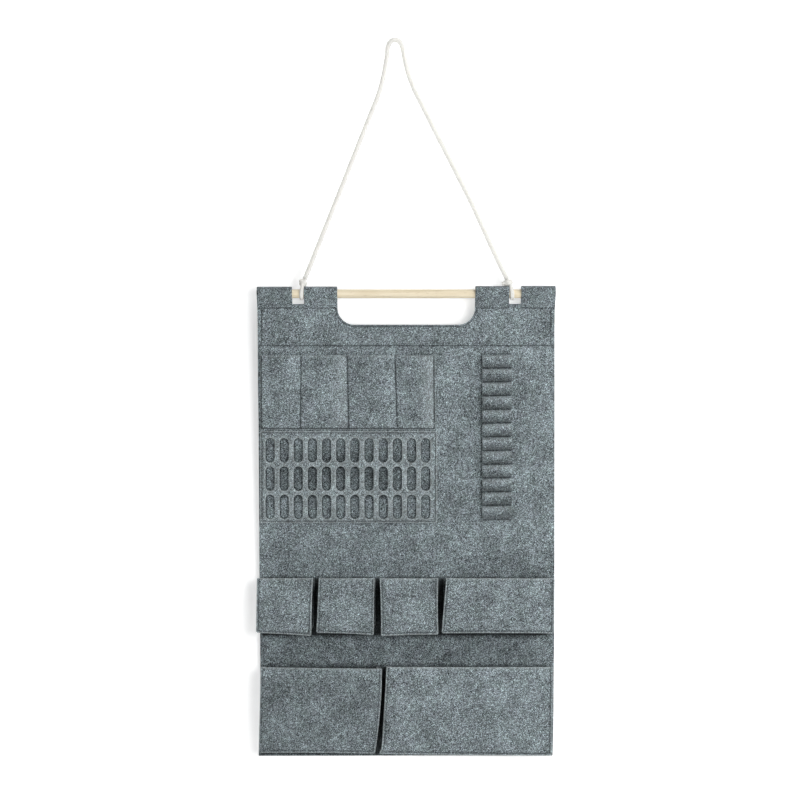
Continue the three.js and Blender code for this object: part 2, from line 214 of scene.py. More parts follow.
# Cord
CORD_RADIUS = 4 * MM
CORD_LAY = 30 * MM
CORD_STRANDS = 4
STRAND_DEPTH = 0.18
STRAND_ROUND = 0.97
ROPE_SIDES = 32
ROPE_STEP = 1.1 * MM
FLARE_REACH = 2.2
SMOOTH_STEPS = 24
ASIDE = (0.31, 0.9, 0.3)
HITCH_RADIUS = 2.7 * MM
KNOT_RADIUS = 2.8 * MM
CORD_POINTS = (
    (-152, -398.9), (-139, -367), (-123, -327), (-96, -259.5), (-70, -194), (-44.5, -130),
    (-26.5, -84), (-17, -45), (-13.5, -22), (-11.6, -7), (-6.8, 1.6), (0, 4), (6.8, 1.6), (11.8, -6.5),
    (15, -22), (19.2, -42), (30.5, -75.5), (48, -111), (73, -161), (100, -214), (128, -269.5),
    (158, -335), (174.5, -370.5), (188.9, -399.6),
)

# Dowel
DOWEL_SIDES = 64
DOWEL_ROUND = 1.1 * MM
DOWEL_FLAT = 0.6 * MM
DOWEL_BODY = 4 * MM
DOWEL_STATIONS = 60

# Camera: level, in front of the middle of the picture
IMAGE_WIDTH = 1.3472
CAMERA_DISTANCE = 4.0
CAMERA_X = 0.0084
CAMERA_Z = -0.603
SENSOR_MM = 36


def link(piece):
    bpy.context.scene.collection.objects.link(piece)


def add_camera():
    data = bpy.data.cameras.new("camera")
    data.sensor_width = SENSOR_MM
    data.lens = SENSOR_MM * CAMERA_DISTANCE / IMAGE_WIDTH
    camera = bpy.data.objects.new("camera", data)
    camera.location = (CAMERA_X, -CAMERA_DISTANCE - FELT, CAMERA_Z)
    camera.rotation_euler = (math.pi / 2, 0, 0)
    link(camera)
    bpy.context.scene.camera = camera


# Numbers
def share(value, start, end):
    """How far value is on its way from start to end, no less than 0 and no more than 1."""
    return np.clip((value - start) / (end - start), 0, 1)


def blend(first, last, part):
    return first * (1 - part) + last * part


def bell(gap, width):
    """1 where the gap is 0, and little more than a third where it is as large as width."""
    return np.exp(-((gap / width) ** 2))


def bend_through(values, t):
    """The parabola that has these three values at 0, a half and 1."""
    first, middle, last = values
    return first * (1 - t) * (1 - 2 * t) + middle * 4 * t * (1 - t) + last * t * (2 * t - 1)


def unit(vectors):
    return vectors / np.maximum(np.linalg.norm(vectors, axis=-1, keepdims=True), 1e-12)


def lengths_along(line):
    """How long the line is up to each of its points."""
    return np.concatenate([[0], np.cumsum(np.linalg.norm(np.diff(line, axis=0), axis=1))])


def round_angles(sides):
    return 2 * math.pi * np.arange(sides) / sides


# Meshes
def mesh_object(name, vertices, faces, material, body, attributes=None):
    """A smooth mesh that rides on a body, with optional float values on its points."""
    mesh = bpy.data.meshes.new(name)
    mesh.from_pydata(np.asarray(vertices).tolist(), [], [tuple(int(i) for i in face) for face in faces])
    mesh.polygons.foreach_set("use_smooth", [True] * len(mesh.polygons))
    for key, values in (attributes or {}).items():
        attribute = mesh.attributes.new(key, "FLOAT", "POINT")
        attribute.data.foreach_set("value", np.asarray(values, np.float32))
    mesh.materials.append(material)
    piece = bpy.data.objects.new(name, mesh)
    link(piece)
    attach(piece, body)
    return piece


def joined(parts):
    """Several (vertices, faces) pairs as one."""
    faces = []
    start = 0
    for part_vertices, part_faces in parts:
        faces.extend(tuple(i + start for i in face) for face in part_faces)
        start += len(part_vertices)
    return np.concatenate([part_vertices for part_vertices, _ in parts]), faces


def tube_faces(rings, sides, start=0):
    """The faces of a tube, its two ends last. Its rings of points follow each other from the point
    start on."""
    faces = []
    for low in range(start, start + (rings - 1) * sides, sides):
        for i in range(sides):
            j = (i + 1) % sides
            faces.append((low + i, low + j, low + sides + j, low + sides + i))
    end = start + rings * sides
    return faces + [tuple(reversed(range(start, start + sides))), tuple(range(end - sides, end))]


# Flat outlines in (u, v)
def subdivided(points, spacing, closed=True):
    """A polyline's points and more between them, its corners kept."""
    points = np.asarray(points, float)
    starts = points if closed else points[:-1]
    ends = np.roll(points, -1, axis=0) if closed else points[1:]
    out = []
    for start, end in zip(starts, ends):
        count = max(1, math.ceil(np.linalg.norm(end - start) / spacing))
        out.extend(start + (end - start) * k / count for k in range(count))
    if not closed:
        out.append(points[-1])
    return np.array(out)


def arc(centre, radius, start, end, count):
    angles = np.radians(np.linspace(start, end, count + 1))
    return [(centre[0] + radius * math.cos(a), centre[1] + radius * math.sin(a)) for a in angles]


def rounded_box(left, right, low, high, radius, count=2):
    """Counter-clockwise outline of a box with round corners, each point once."""
    corners = (
        arc((left + radius, low + radius), radius, 180, 270, count)
        + arc((right - radius, low + radius), radius, 270, 360, count)
        + arc((right - radius, high - radius), radius, 0, 90, count)
        + arc((left + radius, high - radius), radius, 90, 180, count)
    )
    before = corners[-1:] + corners[:-1]
    return [point for point, last in zip(corners, before) if math.dist(point, last) > 0.01 * MM]


def left_normals(directions):
    return unit(np.stack([-directions[:, 1], directions[:, 0]], axis=1))


def line_normals(line):
    return left_normals(np.gradient(line, axis=0))


def drawn_in(loop, inset):
    """A closed loop moved by inset towards its left, where the felt is."""
    before = left_normals(loop - np.roll(loop, 1, axis=0))
    after = left_normals(np.roll(loop, -1, axis=0) - loop)
    mitre = (before + after) / (1 + (before * after).sum(1, keepdims=True))
    return loop + mitre * inset


def inside(points, loops):
    """Which points lie in the felt, inside the outline and outside the holes."""
    odd = np.zeros(len(points), bool)
    u, v = points[:, 0], points[:, 1]
    for loop in loops:
        for (u0, v0), (u1, v1) in zip(loop, np.roll(loop, -1, axis=0)):
            if v0 != v1:
                odd ^= ((v0 > v) != (v1 > v)) & (u < (u1 - u0) * (v - v0) / (v1 - v0) + u0)
    return odd


def distance(points, line, closed=False):
    """Each point's distance to a polyline."""
    best = np.full(len(points), np.inf)
    ends = np.roll(line, -1, axis=0) if closed else line[1:]
    for start, end in zip(line, ends):
        along = end - start
        part = np.clip(((points - start) @ along) / max(along @ along, 1e-18), 0, 1)
        gap = np.linalg.norm(points - start - part[:, None] * along, axis=1)
        best = np.minimum(best, gap)
    return best


def nearest(points, lines, closed=False):
    """Each point's distance to the nearest line, or FAR where that is further."""
    best = np.full(len(points), FAR)
    for line in lines:
        line = np.asarray(line, float)
        near = ((points > line.min(0) - FAR) & (points < line.max(0) + FAR)).all(1)
        best[near] = np.minimum(best[near], distance(points[near], line, closed))
    return best


def left_of(edges, triangles):
    """The triangles on the left of the directed edges, found by walking inwards from them."""
    owner = {}
    for number, (a, b, c) in enumerate(triangles):
        owner[(a, b)] = owner[(b, c)] = owner[(c, a)] = number
    walls = set(edges) | {(b, a) for a, b in edges}
    waiting = [owner[edge] for edge in edges]
    found = set(waiting)
    while waiting:
        a, b, c = triangles[waiting.pop()]
        for edge in ((b, a), (c, b), (a, c)):
            number = owner.get(edge)
            if edge not in walls and number is not None and number not in found:
                found.add(number)
                waiting.append(number)
    return [triangles[number] for number in sorted(found)]


# Felt sheets
def sheet_points(loops, seams, marks, rows, spacing):
    """Points inside the loops: a staggered grid, rows along each seam, and the marks' own points."""
    outer = loops[0]
    grid = []
    for index, v in enumerate(rows):
        shift = spacing / 2 if index % 2 else 0
        row = np.arange(outer[:, 0].min() + shift, outer[:, 0].max(), spacing)
        grid.append(np.stack([row, np.full(len(row), v)], axis=1))
    grid = np.concatenate(grid)
    grid = grid[inside(grid, loops)]
    keep = nearest(grid, loops, closed=True) > EDGE_CLEARANCE * min(spacing, EDGE_STEP)
    keep &= nearest(grid, seams) > abs(SEAM_ROWS[0]) + SEAM_CLEARANCE
    keep &= nearest(grid, marks) > MARK_CLEARANCE
    found = [grid[keep]] + marks
    for seam in seams:
        line = subdivided(seam, SEAM_STEP, closed=False)
        normals = line_normals(line)
        for offset in SEAM_ROWS:
            row = line + normals * offset
            row = row[inside(row, loops)]
            if len(row):
                found.append(row[nearest(row, loops, closed=True) > ROW_CLEARANCE])
    return np.concatenate(found)


def triangulated(loops, free):
    """The felt inside the loops in triangles, through the free points too. index_of gives the place
    of a loop's point among the points."""
    edges = []
    start = 0
    for loop in loops:
        count = len(loop)
        edges.extend((start + i, start + (i + 1) % count) for i in range(count))
        start += count
    flat = np.concatenate(loops + [free])
    found = delaunay_2d_cdt([tuple(p) for p in flat], edges, [], 0, POINT_GAP)
    points = np.array([tuple(p) for p in found[0]])
    index_of = {origin: i for i, origins in enumerate(found[3]) for origin in origins}
    edges = [(index_of[a], index_of[b]) for a, b in edges]
    return points, left_of(edges, [tuple(face) for face in found[2]]), index_of


def no_tone(u, v):
    return 0.0


def felt_sheet(
    name, loops, place, seams=(), back_seams=(), marks=(), rows=None, spacing=GRID,
    thickness=FELT, edge_highlight=0.0, edge_highlight_width=EDGE_HIGHLIGHT_WIDTH, dark=0.7, shade=no_tone, highlight=no_tone,
):
    """A felt sheet with round cut edges. loops are its outline, counter-clockwise, and its holes,
    clockwise. place(u, v, h) gives the point h in front of the sheet's middle surface. raw is how
    strong a painted highlight its cut edges get and dark how dark a painted shade its seams get;
    shade(u, v) paints more shade on its front and pale(u, v) paints a highlight on it."""
    loops, seams, back_seams = (
        [np.asarray(line, float) for line in lines] for lines in (loops, seams, back_seams)
    )
    inner = [drawn_in(loop, EDGE_ROUND) for loop in loops]
    if rows is None:
        low, high = loops[0][:, 1].min(), loops[0][:, 1].max()
        rows = np.linspace(low, high, max(3, round((high - low) / (GRID_ROW * spacing))))[1:-1]
    free = sheet_points(inner, seams + back_seams, list(marks), rows, spacing)
    points, triangles, index_of = triangulated(inner, free)

    rings = [(drawn_in(loop, inset), drop) for inset, drop in EDGE_PROFILE for loop in loops]
    everything = np.concatenate([points] + [ring for ring, _ in rings])
    drops = np.concatenate([np.zeros(len(points))] + [np.full(len(ring), drop) for ring, drop in rings])
    u, v = everything[:, 0], everything[:, 1]
    seam_gap, back_gap = nearest(everything, seams), nearest(everything, back_seams)
    vertices = np.concatenate([
        place(u, v, face * (thickness / 2 - drops - SEAM_DEPTH * bell(gap, SEAM_WIDTH)))
        for face, gap in ((1, seam_gap), (-1, back_gap))
    ])

    total = len(everything)
    faces = triangles + [(c + total, b + total, a + total) for a, b, c in triangles]
    starts = np.cumsum([len(points)] + [len(ring) for ring, _ in rings])
    inner_start = 0
    for number, loop in enumerate(loops):
        count = len(loop)
        outer, middle = (range(starts[k], starts[k] + count) for k in (number, number + len(loops)))
        inmost = [index_of[inner_start + i] for i in range(count)]
        inner_start += count
        for i in range(count):
            j = (i + 1) % count
            faces.append((outer[i] + total, outer[j] + total, outer[j], outer[i]))
            for a, b in ((outer, middle), (middle, inmost)):
                faces.append((a[i], a[j], b[j], b[i]))
                faces.append((b[i] + total, b[j] + total, a[j] + total, a[i] + total))
    # Painted highlight along the cut edges; the sheet's own painted highlight is laid over it below
    painted_highlight = edge_highlight * np.exp(-nearest(everything, loops, closed=True) / edge_highlight_width)
    # Painted shade along the seams, as strong as dark says, on both faces; the front also takes the shade
    # function's painted shade
    painted_shade, back_painted_shade = (dark * bell(gap, MM) for gap in (seam_gap, back_gap))
    return mesh_object(name, vertices, faces, felt_material, "organizer", {
        "painted_highlight": np.concatenate([np.maximum(painted_highlight, highlight(u, v)), painted_highlight]),
        "painted_shade": np.concatenate([np.maximum(painted_shade, shade(u, v)), back_painted_shade]),
    })


def stitches(line, place, height, face=1):
    """The stitches along a flat polyline; height is where the thread lies, off the sheet's middle,
    and face is -1 on the back."""
    line = subdivided(line, MM, closed=False)
    lengths = lengths_along(line)
    count = int((lengths[-1] - STITCH_LENGTH) / STITCH_PITCH) + 1
    if count < 1:
        return np.zeros((0, 3)), []
    first = (lengths[-1] - (count - 1) * STITCH_PITCH - STITCH_LENGTH) / 2
    rings = len(STITCH_TAPER)
    stations = np.linspace(0, 1, rings)
    at = first + np.arange(count)[:, None] * STITCH_PITCH + stations * STITCH_LENGTH
    arch = np.sin(math.pi * stations) * STITCH_RISE - STITCH_SINK
    u, v = (np.interp(at, lengths, line[:, k]).ravel() for k in range(2))
    h = np.tile(height + arch * face, count)
    centre, above = (place(u, v, h + lift).reshape(count, rings, 3) for lift in (0, MM))
    normal = unit(above - centre)
    across = unit(np.cross(unit(np.gradient(centre, axis=1)), normal))
    angles = round_angles(THREAD_SIDES)[:, None]
    radius = THREAD_RADIUS * np.array(STITCH_TAPER)[:, None, None]
    ring = np.cos(angles) * normal[:, :, None, :] + np.sin(angles) * across[:, :, None, :]
    vertices = (centre[:, :, None, :] + radius * ring).reshape(-1, 3)
    faces = []
    for start in range(0, len(vertices), rings * THREAD_SIDES):
        faces += tube_faces(rings, THREAD_SIDES, start)
    return vertices, faces


def stitching(name, place, seams, back_seams=(), flat_seams=(), thickness=FELT):
    """One object with all stitches of a sheet. Those of flat_seams have no groove."""
    groove = thickness / 2 - SEAM_DEPTH + THREAD_RADIUS
    parts = [stitches(seam, place, groove) for seam in seams]
    parts += [stitches(seam, place, -groove, -1) for seam in back_seams]
    parts += [stitches(seam, place, thickness / 2) for seam in flat_seams]
    vertices, faces = joined([part for part in parts if len(part[0])])
    return mesh_object(name, vertices, faces, thread_material, "organizer")


# The slow wander of the whole hung panel, which every sewn layer shares: the drops under the dowel
# where it begins and is full, and each wave's height in mm, its run across and down, and its phase
WANDER_SPAN = (60 * MM, 260 * MM)
WANDER_WAVES = ((0.9, 9, 5, 0.4), (0.7, -13, 11, 2.1), (0.4, 21, 19, 4.0))
WANDER_BACK = 0.6


def hung(x, y, z):
    wave = sum(height * np.sin(a * x + b * z + phase) for height, a, b, phase in WANDER_WAVES)
    return np.stack([x, y + share(AXIS_Z - z, *WANDER_SPAN) * (wave - WANDER_BACK) * MM, z], axis=-1)


# How far the panel's sides stand to the right of straight, by the drop under the dowel, in mm
SIDE_DROPS = (0, 24, 60, 160, 213, 294, 455, 590, 640, 700, 752, 778)
LEFT_SIDE = (-1.9, -1.0, -0.4, 0.0, 1.0, 1.7, 2.4, 3.8, 4.3, 3.4, 2.2, 1.4)
RIGHT_SIDE = (1.5, 0.3, -0.3, -0.3, -0.4, -0.4, -0.5, -0.9, -1.7, -2.0, -2.8, -3.6)
# How far the tabs stand up at the dowel's axis, at the left and at the right, and how many times
# that they do at most
TAB_LIFT = (0.9 * MM, 1.9 * MM)
TAB_LIFT_MOST = 1.4


def panel_hung(placed):
    """The panel's own width changes a little on its way down, and its tabs stand up."""
    x, z = placed[..., 0], placed[..., 2]
    across = share(x, LEFT, RIGHT)
    left, right = (np.interp((AXIS_Z - z) / MM, SIDE_DROPS, side) for side in (LEFT_SIDE, RIGHT_SIDE))
    placed[..., 0] += (left * (1 - across) ** 2 + right * across ** 2) * MM
    raised = np.clip((z - AXIS_Z + TUNNEL_SEAM) / TUNNEL_SEAM, 0, TAB_LIFT_MOST)
    placed[..., 2] += blend(*TAB_LIFT, across) * raised
    return placed


# A sheet bent only in its (y, z) section
SECTION_STEP = 0.4 * MM


class Section:
    """A curve in (y, z) by its length; the front is on its left as it climbs."""

    def __init__(self, points, smooth):
        points = subdivided(points, SECTION_STEP, closed=False)
        reach = max(1, round(smooth / SECTION_STEP))
        padded = np.pad(points, ((reach, reach), (0, 0)), mode="reflect", reflect_type="odd")
        kernel = np.hanning(2 * reach + 3)[1:-1]
        kernel /= kernel.sum()
        self.points = np.stack([np.convolve(padded[:, k], kernel, "valid") for k in range(2)], axis=1)
        self.lengths = lengths_along(self.points)
        self.tangents = unit(np.gradient(self.points, axis=0))
        self.total = self.lengths[-1]

    def place(self, u, s, h):
        y, z = (np.interp(s, self.lengths, self.points[:, k]) for k in range(2))
        ty, tz = (np.interp(s, self.lengths, self.tangents[:, k]) for k in range(2))
        return hung(u, y - h * tz, z + h * ty)


def panel_section():
    """Up the front, round the dowel and down the back to the facing's edge."""
    side = FELT / 2
    reach = math.hypot(side, TUNNEL_SEAM)
    spread = math.degrees(math.acos(TUNNEL_RADIUS / reach) - math.atan2(TUNNEL_SEAM, side))
    curve = [(-side, BOTTOM), (-side, AXIS_Z - TUNNEL_SEAM)]
    curve += arc((0, AXIS_Z), TUNNEL_RADIUS, 180 - spread, spread, 36)
    curve += [(side, AXIS_Z - TUNNEL_SEAM), (side, AXIS_Z - FACING_DROP)]
    return Section(curve, FOLD_ROUNDING)


# Painted shade on the panel's felt where little light comes in: in the slots, round their edges and
# under their tops, on the tabs, and under and between the pockets. Rows of points inside a slot's
# outline and under a pocket's foot carry it; then how dark it is and how far
SLOT_SHADE_ROWS = (-0.5 * MM, 0.5 * MM, 1.5 * MM, 3.2 * MM, 5.2 * MM)
FOOT_SHADE_ROWS = (3 * MM, 5 * MM, 7 * MM, 9 * MM, 12 * MM)
SHADE_STEP = 5 * MM
SLOT_SHADE = 0.42
SLOT_SHADE_ABOVE_MIDDLE = 13 * MM
SLOT_SHADE_REACH = 30 * MM
SLOT_EDGE_SHADE = 0.75
SLOT_EDGE_SHADE_REACH = 1.1 * MM
SLOT_TOP_SHADE = 0.97
SLOT_TOP_SHADE_REACH = 5.2 * MM
TAB_SHADE = 0.12
TAB_SHADE_FADE = 4 * MM
POCKET_SHADE = 0.9
POCKET_SHADE_DROP = 5 * MM
POCKET_SHADE_REACH = 3.6 * MM
POCKET_SHADE_END = (3 * MM, 9 * MM)
POCKET_SHADE_TOP = 4 * MM
POCKET_ROWS = (("upper_pocket_1", "upper_pocket_4"), ("lower_pocket_left", "lower_pocket_right"))


def panel_shade(x, z):
    points = np.stack([x, z], axis=1)
    edge = SLOT_EDGE_SHADE * bell(nearest(points, open_slots, closed=True), SLOT_EDGE_SHADE_REACH)
    low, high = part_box("slotted_panel")
    above = z - (low.z + high.z) / 2 - SLOT_SHADE_ABOVE_MIDDLE
    below = high.z - SLOT_TOP_MARGIN - z
    deep = SLOT_SHADE * bell(above, SLOT_SHADE_REACH)
    lid = SLOT_TOP_SHADE * share(below, 0, SLOT_PITCH_Z) * bell(below % SLOT_PITCH_Z, SLOT_TOP_SHADE_REACH)
    bulge = np.sqrt(np.sin(math.pi * share(x, low.x, high.x)))
    total = np.maximum(edge, bulge * np.maximum(deep, lid) * inside(points, open_slots))
    # Painted shade on the tabs above the tunnel seam
    tab_foot = AXIS_Z - TUNNEL_SEAM
    total = np.maximum(total, TAB_SHADE * share(z, tab_foot, tab_foot + TAB_SHADE_FADE))
    # Painted shade under and between the pockets of each row, fading below their feet
    for first, last in POCKET_ROWS:
        low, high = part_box(first + "_front")
        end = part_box(last + "_front")[1].x
        under = np.clip((low.z - POCKET_SHADE_DROP - z) / POCKET_SHADE_REACH, 0, None)
        along = (x > low.x) * share(end - x, *POCKET_SHADE_END)
        row = POCKET_SHADE * np.exp(-under) * share(high.z - z, 0, POCKET_SHADE_TOP) * along
        total = np.maximum(total, row)
    return total


def build_back_panel():
    section = panel_section()
    heights = section.points[:, 1]
    top = int(np.argmax(heights))

    def front_s(drop):
        return float(np.interp(AXIS_Z - drop, heights[:top + 1], section.lengths[:top + 1]))

    def rear_s(drop):
        return float(np.interp(AXIS_Z - drop, heights[top:][::-1], section.lengths[top:][::-1]))

    def place(u, s, h):
        return panel_hung(section.place(u, s, h))

    def hole(left, right, drop, radius, count, step):
        """A hole through both layers; it reaches as far down behind as in front."""
        outline = rounded_box(LEFT + left, LEFT + right, front_s(drop), rear_s(drop), radius, count)
        return subdivided(outline, step)[::-1]

    loops = [subdivided(rounded_box(LEFT, RIGHT, 0, section.total, CUT_CORNER), PANEL_EDGE_STEP)]
    for left in NOTCHES:
        loops.append(hole(left, left + NOTCH_WIDTH, NOTCH_DROP, NOTCH_CORNER, 2, NOTCH_EDGE_STEP))
    loops.append(hole(HANDHOLD_LEFT, HANDHOLD_RIGHT, HANDHOLD_DROP, HANDHOLD_RADIUS, 10, EDGE_STEP))

    left = LEFT + HANDHOLD_LEFT - HANDHOLD_SEAM
    right = LEFT + HANDHOLD_RIGHT + HANDHOLD_SEAM
    radius = HANDHOLD_RADIUS + HANDHOLD_SEAM
    middle = radius - HANDHOLD_DROP - HANDHOLD_SEAM
    round_handhold = [(left, -TUNNEL_SEAM)]
    round_handhold += arc((left + radius, middle), radius, 180, 270, 10)
    round_handhold += arc((right - radius, middle), radius, 270, 360, 10)
    round_handhold += [(right, -TUNNEL_SEAM)]
    tabs = (
        (0, NOTCHES[0]), (NOTCHES[0] + NOTCH_WIDTH, HANDHOLD_LEFT),
        (HANDHOLD_RIGHT, NOTCHES[1]), (NOTCHES[1] + NOTCH_WIDTH, RIGHT - LEFT),
    )
    seams = []
    for at in (front_s, rear_s):
        tunnel, facing = at(TUNNEL_SEAM), at(FACING_SEAM)
        for left, right in tabs:
            seams.append([(LEFT + left + SEAM_END, tunnel), (LEFT + right - SEAM_END, tunnel)])
        seams.append([(LEFT + SEAM_END, facing), (RIGHT - SEAM_END, facing)])
        for u in (LEFT + SIDE_SEAM, RIGHT - SIDE_SEAM):
            seams.append([(u, facing), (u, tunnel)])
        seams.append([(u, at(-v)) for u, v in round_handhold])

    fold = np.arange(front_s(FOLD_DROP), rear_s(FOLD_DROP), FINE_GRID)
    rows = np.concatenate([
        np.arange(GRID, fold[0] - FINE_GRID, GRID_ROW * GRID),
        fold,
        np.arange(fold[-1] + 2 * FINE_GRID, section.total - 2 * MM, GRID_ROW * GRID),
    ])
    marks = [drawn_in(slot, inset) for slot in open_slots for inset in SLOT_SHADE_ROWS]
    across = np.arange(LEFT + SHADE_STEP, RIGHT - SHADE_STEP, SHADE_STEP)
    for first, _ in POCKET_ROWS:
        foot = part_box(first + "_front")[0].z
        heights_under = [foot - below for below in FOOT_SHADE_ROWS if foot - below > BOTTOM + 2 * MM]
        marks += [np.stack([across, np.full(len(across), z)], axis=1) for z in heights_under]
    marks = [mark - (0, BOTTOM) for mark in marks]
    back_seams = [[(u, v - BOTTOM) for u, v in seam] for seam in sewn_through]
    # Its front takes the panel's painted shade, and painted shade along the seams
    panel = felt_sheet(
        "back_felt", loops, place, seams, back_seams, marks, rows,
        shade=lambda u, s: panel_shade(u, s + BOTTOM),
    )
    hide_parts("back_panel")
    thread = stitching("back_felt_stitches", place, seams, back_seams)
    handhold_area = (HANDHOLD_RIGHT - HANDHOLD_LEFT) * (rear_s(HANDHOLD_DROP) - front_s(HANDHOLD_DROP))
    notch_area = 2 * NOTCH_WIDTH * (rear_s(NOTCH_DROP) - front_s(NOTCH_DROP))


# Sheets sewn flat on the panel
def risen(rise):
    """Places a sheet on the panel's front, its back standing off by rise(x, z)."""
    def place(u, v, h):
        return hung(u, -FELT - SEWN_GAP - FELT / 2 - rise(u, v) - h, v)
    return place


def build_flat_pockets():
    low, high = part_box("flat_pocket_strip")
    foot = low.z + FLAT_POCKET_HEM
    seams_x = [(low.x + x, lean) for x, lean in zip(FLAT_POCKET_SEAMS, FLAT_POCKET_LEANS)]

    def seam_at(seam, z):
        """A seam leans: its lean is how far its top stands from its foot."""
        return seam[0] + seam[1] * (z - foot) / (high.z - foot)

    def across_each(x, z):
        """How far across each pocket the points lie, from its left seam to its right one."""
        for one, other in zip(seams_x, seams_x[1:]):
            left, right = seam_at(one, z), seam_at(other, z)
            yield (x - left) / (right - left)

    def rise(x, z):
        below = share((high.z - z) / (high.z - low.z), FLAT_POCKET_MOUTH, 1)
        humps = [np.clip(across, 0, 1) ** FLAT_POCKET_SKEW for across in across_each(x, z)]
        return FLAT_POCKET_BULGE * np.cos(math.pi / 2 * below) * np.sin(math.pi * np.array(humps)).sum(0)

    def highlight(x, z):
        """A painted highlight where each pocket turns in to its right seam, on the slope that faces the
        light.
        """
        return np.max([
            most * share(across, *HIGHLIGHT_SPAN) ** HIGHLIGHT_POWER * (across < HIGHLIGHT_END)
            for across, most in zip(across_each(x, z), FLAT_POCKET_HIGHLIGHT)
        ], axis=0)

    place = risen(rise)
    outline = subdivided(rounded_box(low.x, high.x, low.z, high.z, CUT_CORNER), EDGE_STEP)
    top = high.z - FLAT_POCKET_SEAM_END
    seams = [[(seam[0], foot), (seam_at(seam, top), top)] for seam in seams_x]
    seams.append([(seams_x[0][0], foot), (seams_x[-1][0], foot)])
    # Painted highlight on the cut edges and on each pocket's turn, painted shade along the seams
    strip = felt_sheet(
        "flat_pocket_felt", [outline], place, seams, spacing=STRIP_GRID, edge_highlight=0.8, edge_highlight_width=MM,
        dark=1.0, highlight=highlight,
    )
    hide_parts("flat_pocket_strip")
    thread = stitching("flat_pocket_stitches", place, seams)
    sewn_through.extend(seams)


def build_slotted_sheet():
    low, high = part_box("slotted_panel")

    def rise(x, z):
        across, down = share(x, low.x, high.x), share(z, high.z, low.z)
        return SLOTTED_BULGE * np.sqrt(np.maximum(np.sin(math.pi * across) * np.sin(math.pi * down), 0))

    place = risen(rise)
    top_edge = high.z - SLOTTED_TOP_GAP
    loops = [subdivided(rounded_box(low.x, high.x, low.z, top_edge, CUT_CORNER), EDGE_STEP)]
    radius = SLOT_WIDTH / 2
    for row in range(SLOT_ROWS):
        for column in range(SLOT_COLUMNS):
            left = low.x + SLOT_SIDE_MARGIN + column * SLOT_PITCH_X
            top = high.z - SLOT_TOP_MARGIN - row * SLOT_PITCH_Z
            slot = rounded_box(left, left + SLOT_WIDTH, top - SLOT_HEIGHT, top, radius, 8)
            loops.append(subdivided(slot, EDGE_STEP)[::-1])
    open_slots.extend(loop[::-1] for loop in loops[1:])
    border = rounded_box(
        low.x + HEM_SEAM, high.x - HEM_SEAM, low.z + HEM_SEAM, top_edge - HEM_SEAM, HEM_CORNER
    )
    seams = [border + border[:1]]
    # Painted highlight round the slots and the sheet's edge, painted shade along the hem seam
    sheet = felt_sheet(
        "slotted_felt", loops, place, seams, spacing=SLOTTED_GRID, edge_highlight=0.95, edge_highlight_width=2.7 * MM, dark=0.6
    )
    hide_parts("slotted_panel")
    thread = stitching("slotted_stitches", place, seams)
    sewn_through.extend(seams)


def build_tool_loops():
    low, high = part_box("tool_loop_strip")
    back = -FELT - SEWN_GAP - LOOP_FELT / 2
    half = (LOOP_PITCH - LOOP_SEAM) / 2 - LOOP_FELT / 2
    curve = [(back, low.z)]
    seam_heights = [low.z + LOOP_END_SEAM]
    for loop in reversed(range(LOOP_COUNT)):
        middle = high.z - LOOP_HEM - (loop + 0.5) * LOOP_PITCH
        for angle in np.linspace(math.pi, 0, LOOP_STEPS + 1):
            rise = LOOP_RISE * math.sin(angle) ** LOOP_FULLNESS
            curve.append((back - rise, middle + half * math.cos(angle)))
        seam_heights.append(middle + LOOP_PITCH / 2)
    seam_heights[-1] = high.z - LOOP_END_SEAM
    curve.append((back, high.z))
    section = Section(curve, LOOP_ROUNDING)
    heights = section.points[:, 1]

    def place(u, s, h):
        placed = section.place(u, s, h)
        raised = share(-placed[..., 1], FELT + SEWN_GAP, FELT + SEWN_GAP + LOOP_RISE)
        along = u - low.x
        slant = LOOP_WAVE * np.sin(LOOP_WAVE_RUN * along) + LOOP_SLANT * along / (high.x - low.x)
        placed[..., 2] += slant * raised
        return placed

    def down_loop(s):
        """How far down its own loop a point is, 0 at the top and 1 at the foot."""
        height = np.interp(s, section.lengths, heights)
        return ((high.z - LOOP_HEM - height) / LOOP_PITCH) % 1

    outline = subdivided(rounded_box(low.x, high.x, 0, section.total, HEM_CORNER), 2 * MM)
    order = np.argsort(heights)
    seams = []
    for s in np.interp(seam_heights, heights[order], section.lengths[order]):
        seams.append([(low.x + 2 * MM, s), (high.x - 2 * MM, s)])
    # Painted shade on each loop's lower part and along the seams, painted highlight near each loop's top
    strip = felt_sheet(
        "tool_loop_felt", [outline], place, seams[:-1], spacing=LOOP_GRID, thickness=LOOP_FELT, dark=1.0,
        rows=np.arange(LOOP_ROW, section.total - MM, LOOP_ROW),
        shade=lambda u, s: LOOP_UNDERSIDE_SHADE * share(down_loop(s), *LOOP_UNDERSIDE_SHADE_SPAN),
        highlight=lambda u, s: LOOP_CROWN_HIGHLIGHT * share(abs(down_loop(s) - LOOP_CROWN_HIGHLIGHT_AT), LOOP_CROWN_HIGHLIGHT_REACH, 0),
    )
    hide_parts("tool_loop_strip")
    thread = stitching(
        "tool_loop_stitches", place, seams[:-1], flat_seams=seams[-1:], thickness=LOOP_FELT
    )
    sewn_through.extend([[(low.x, z), (high.x, z)] for z in seam_heights])


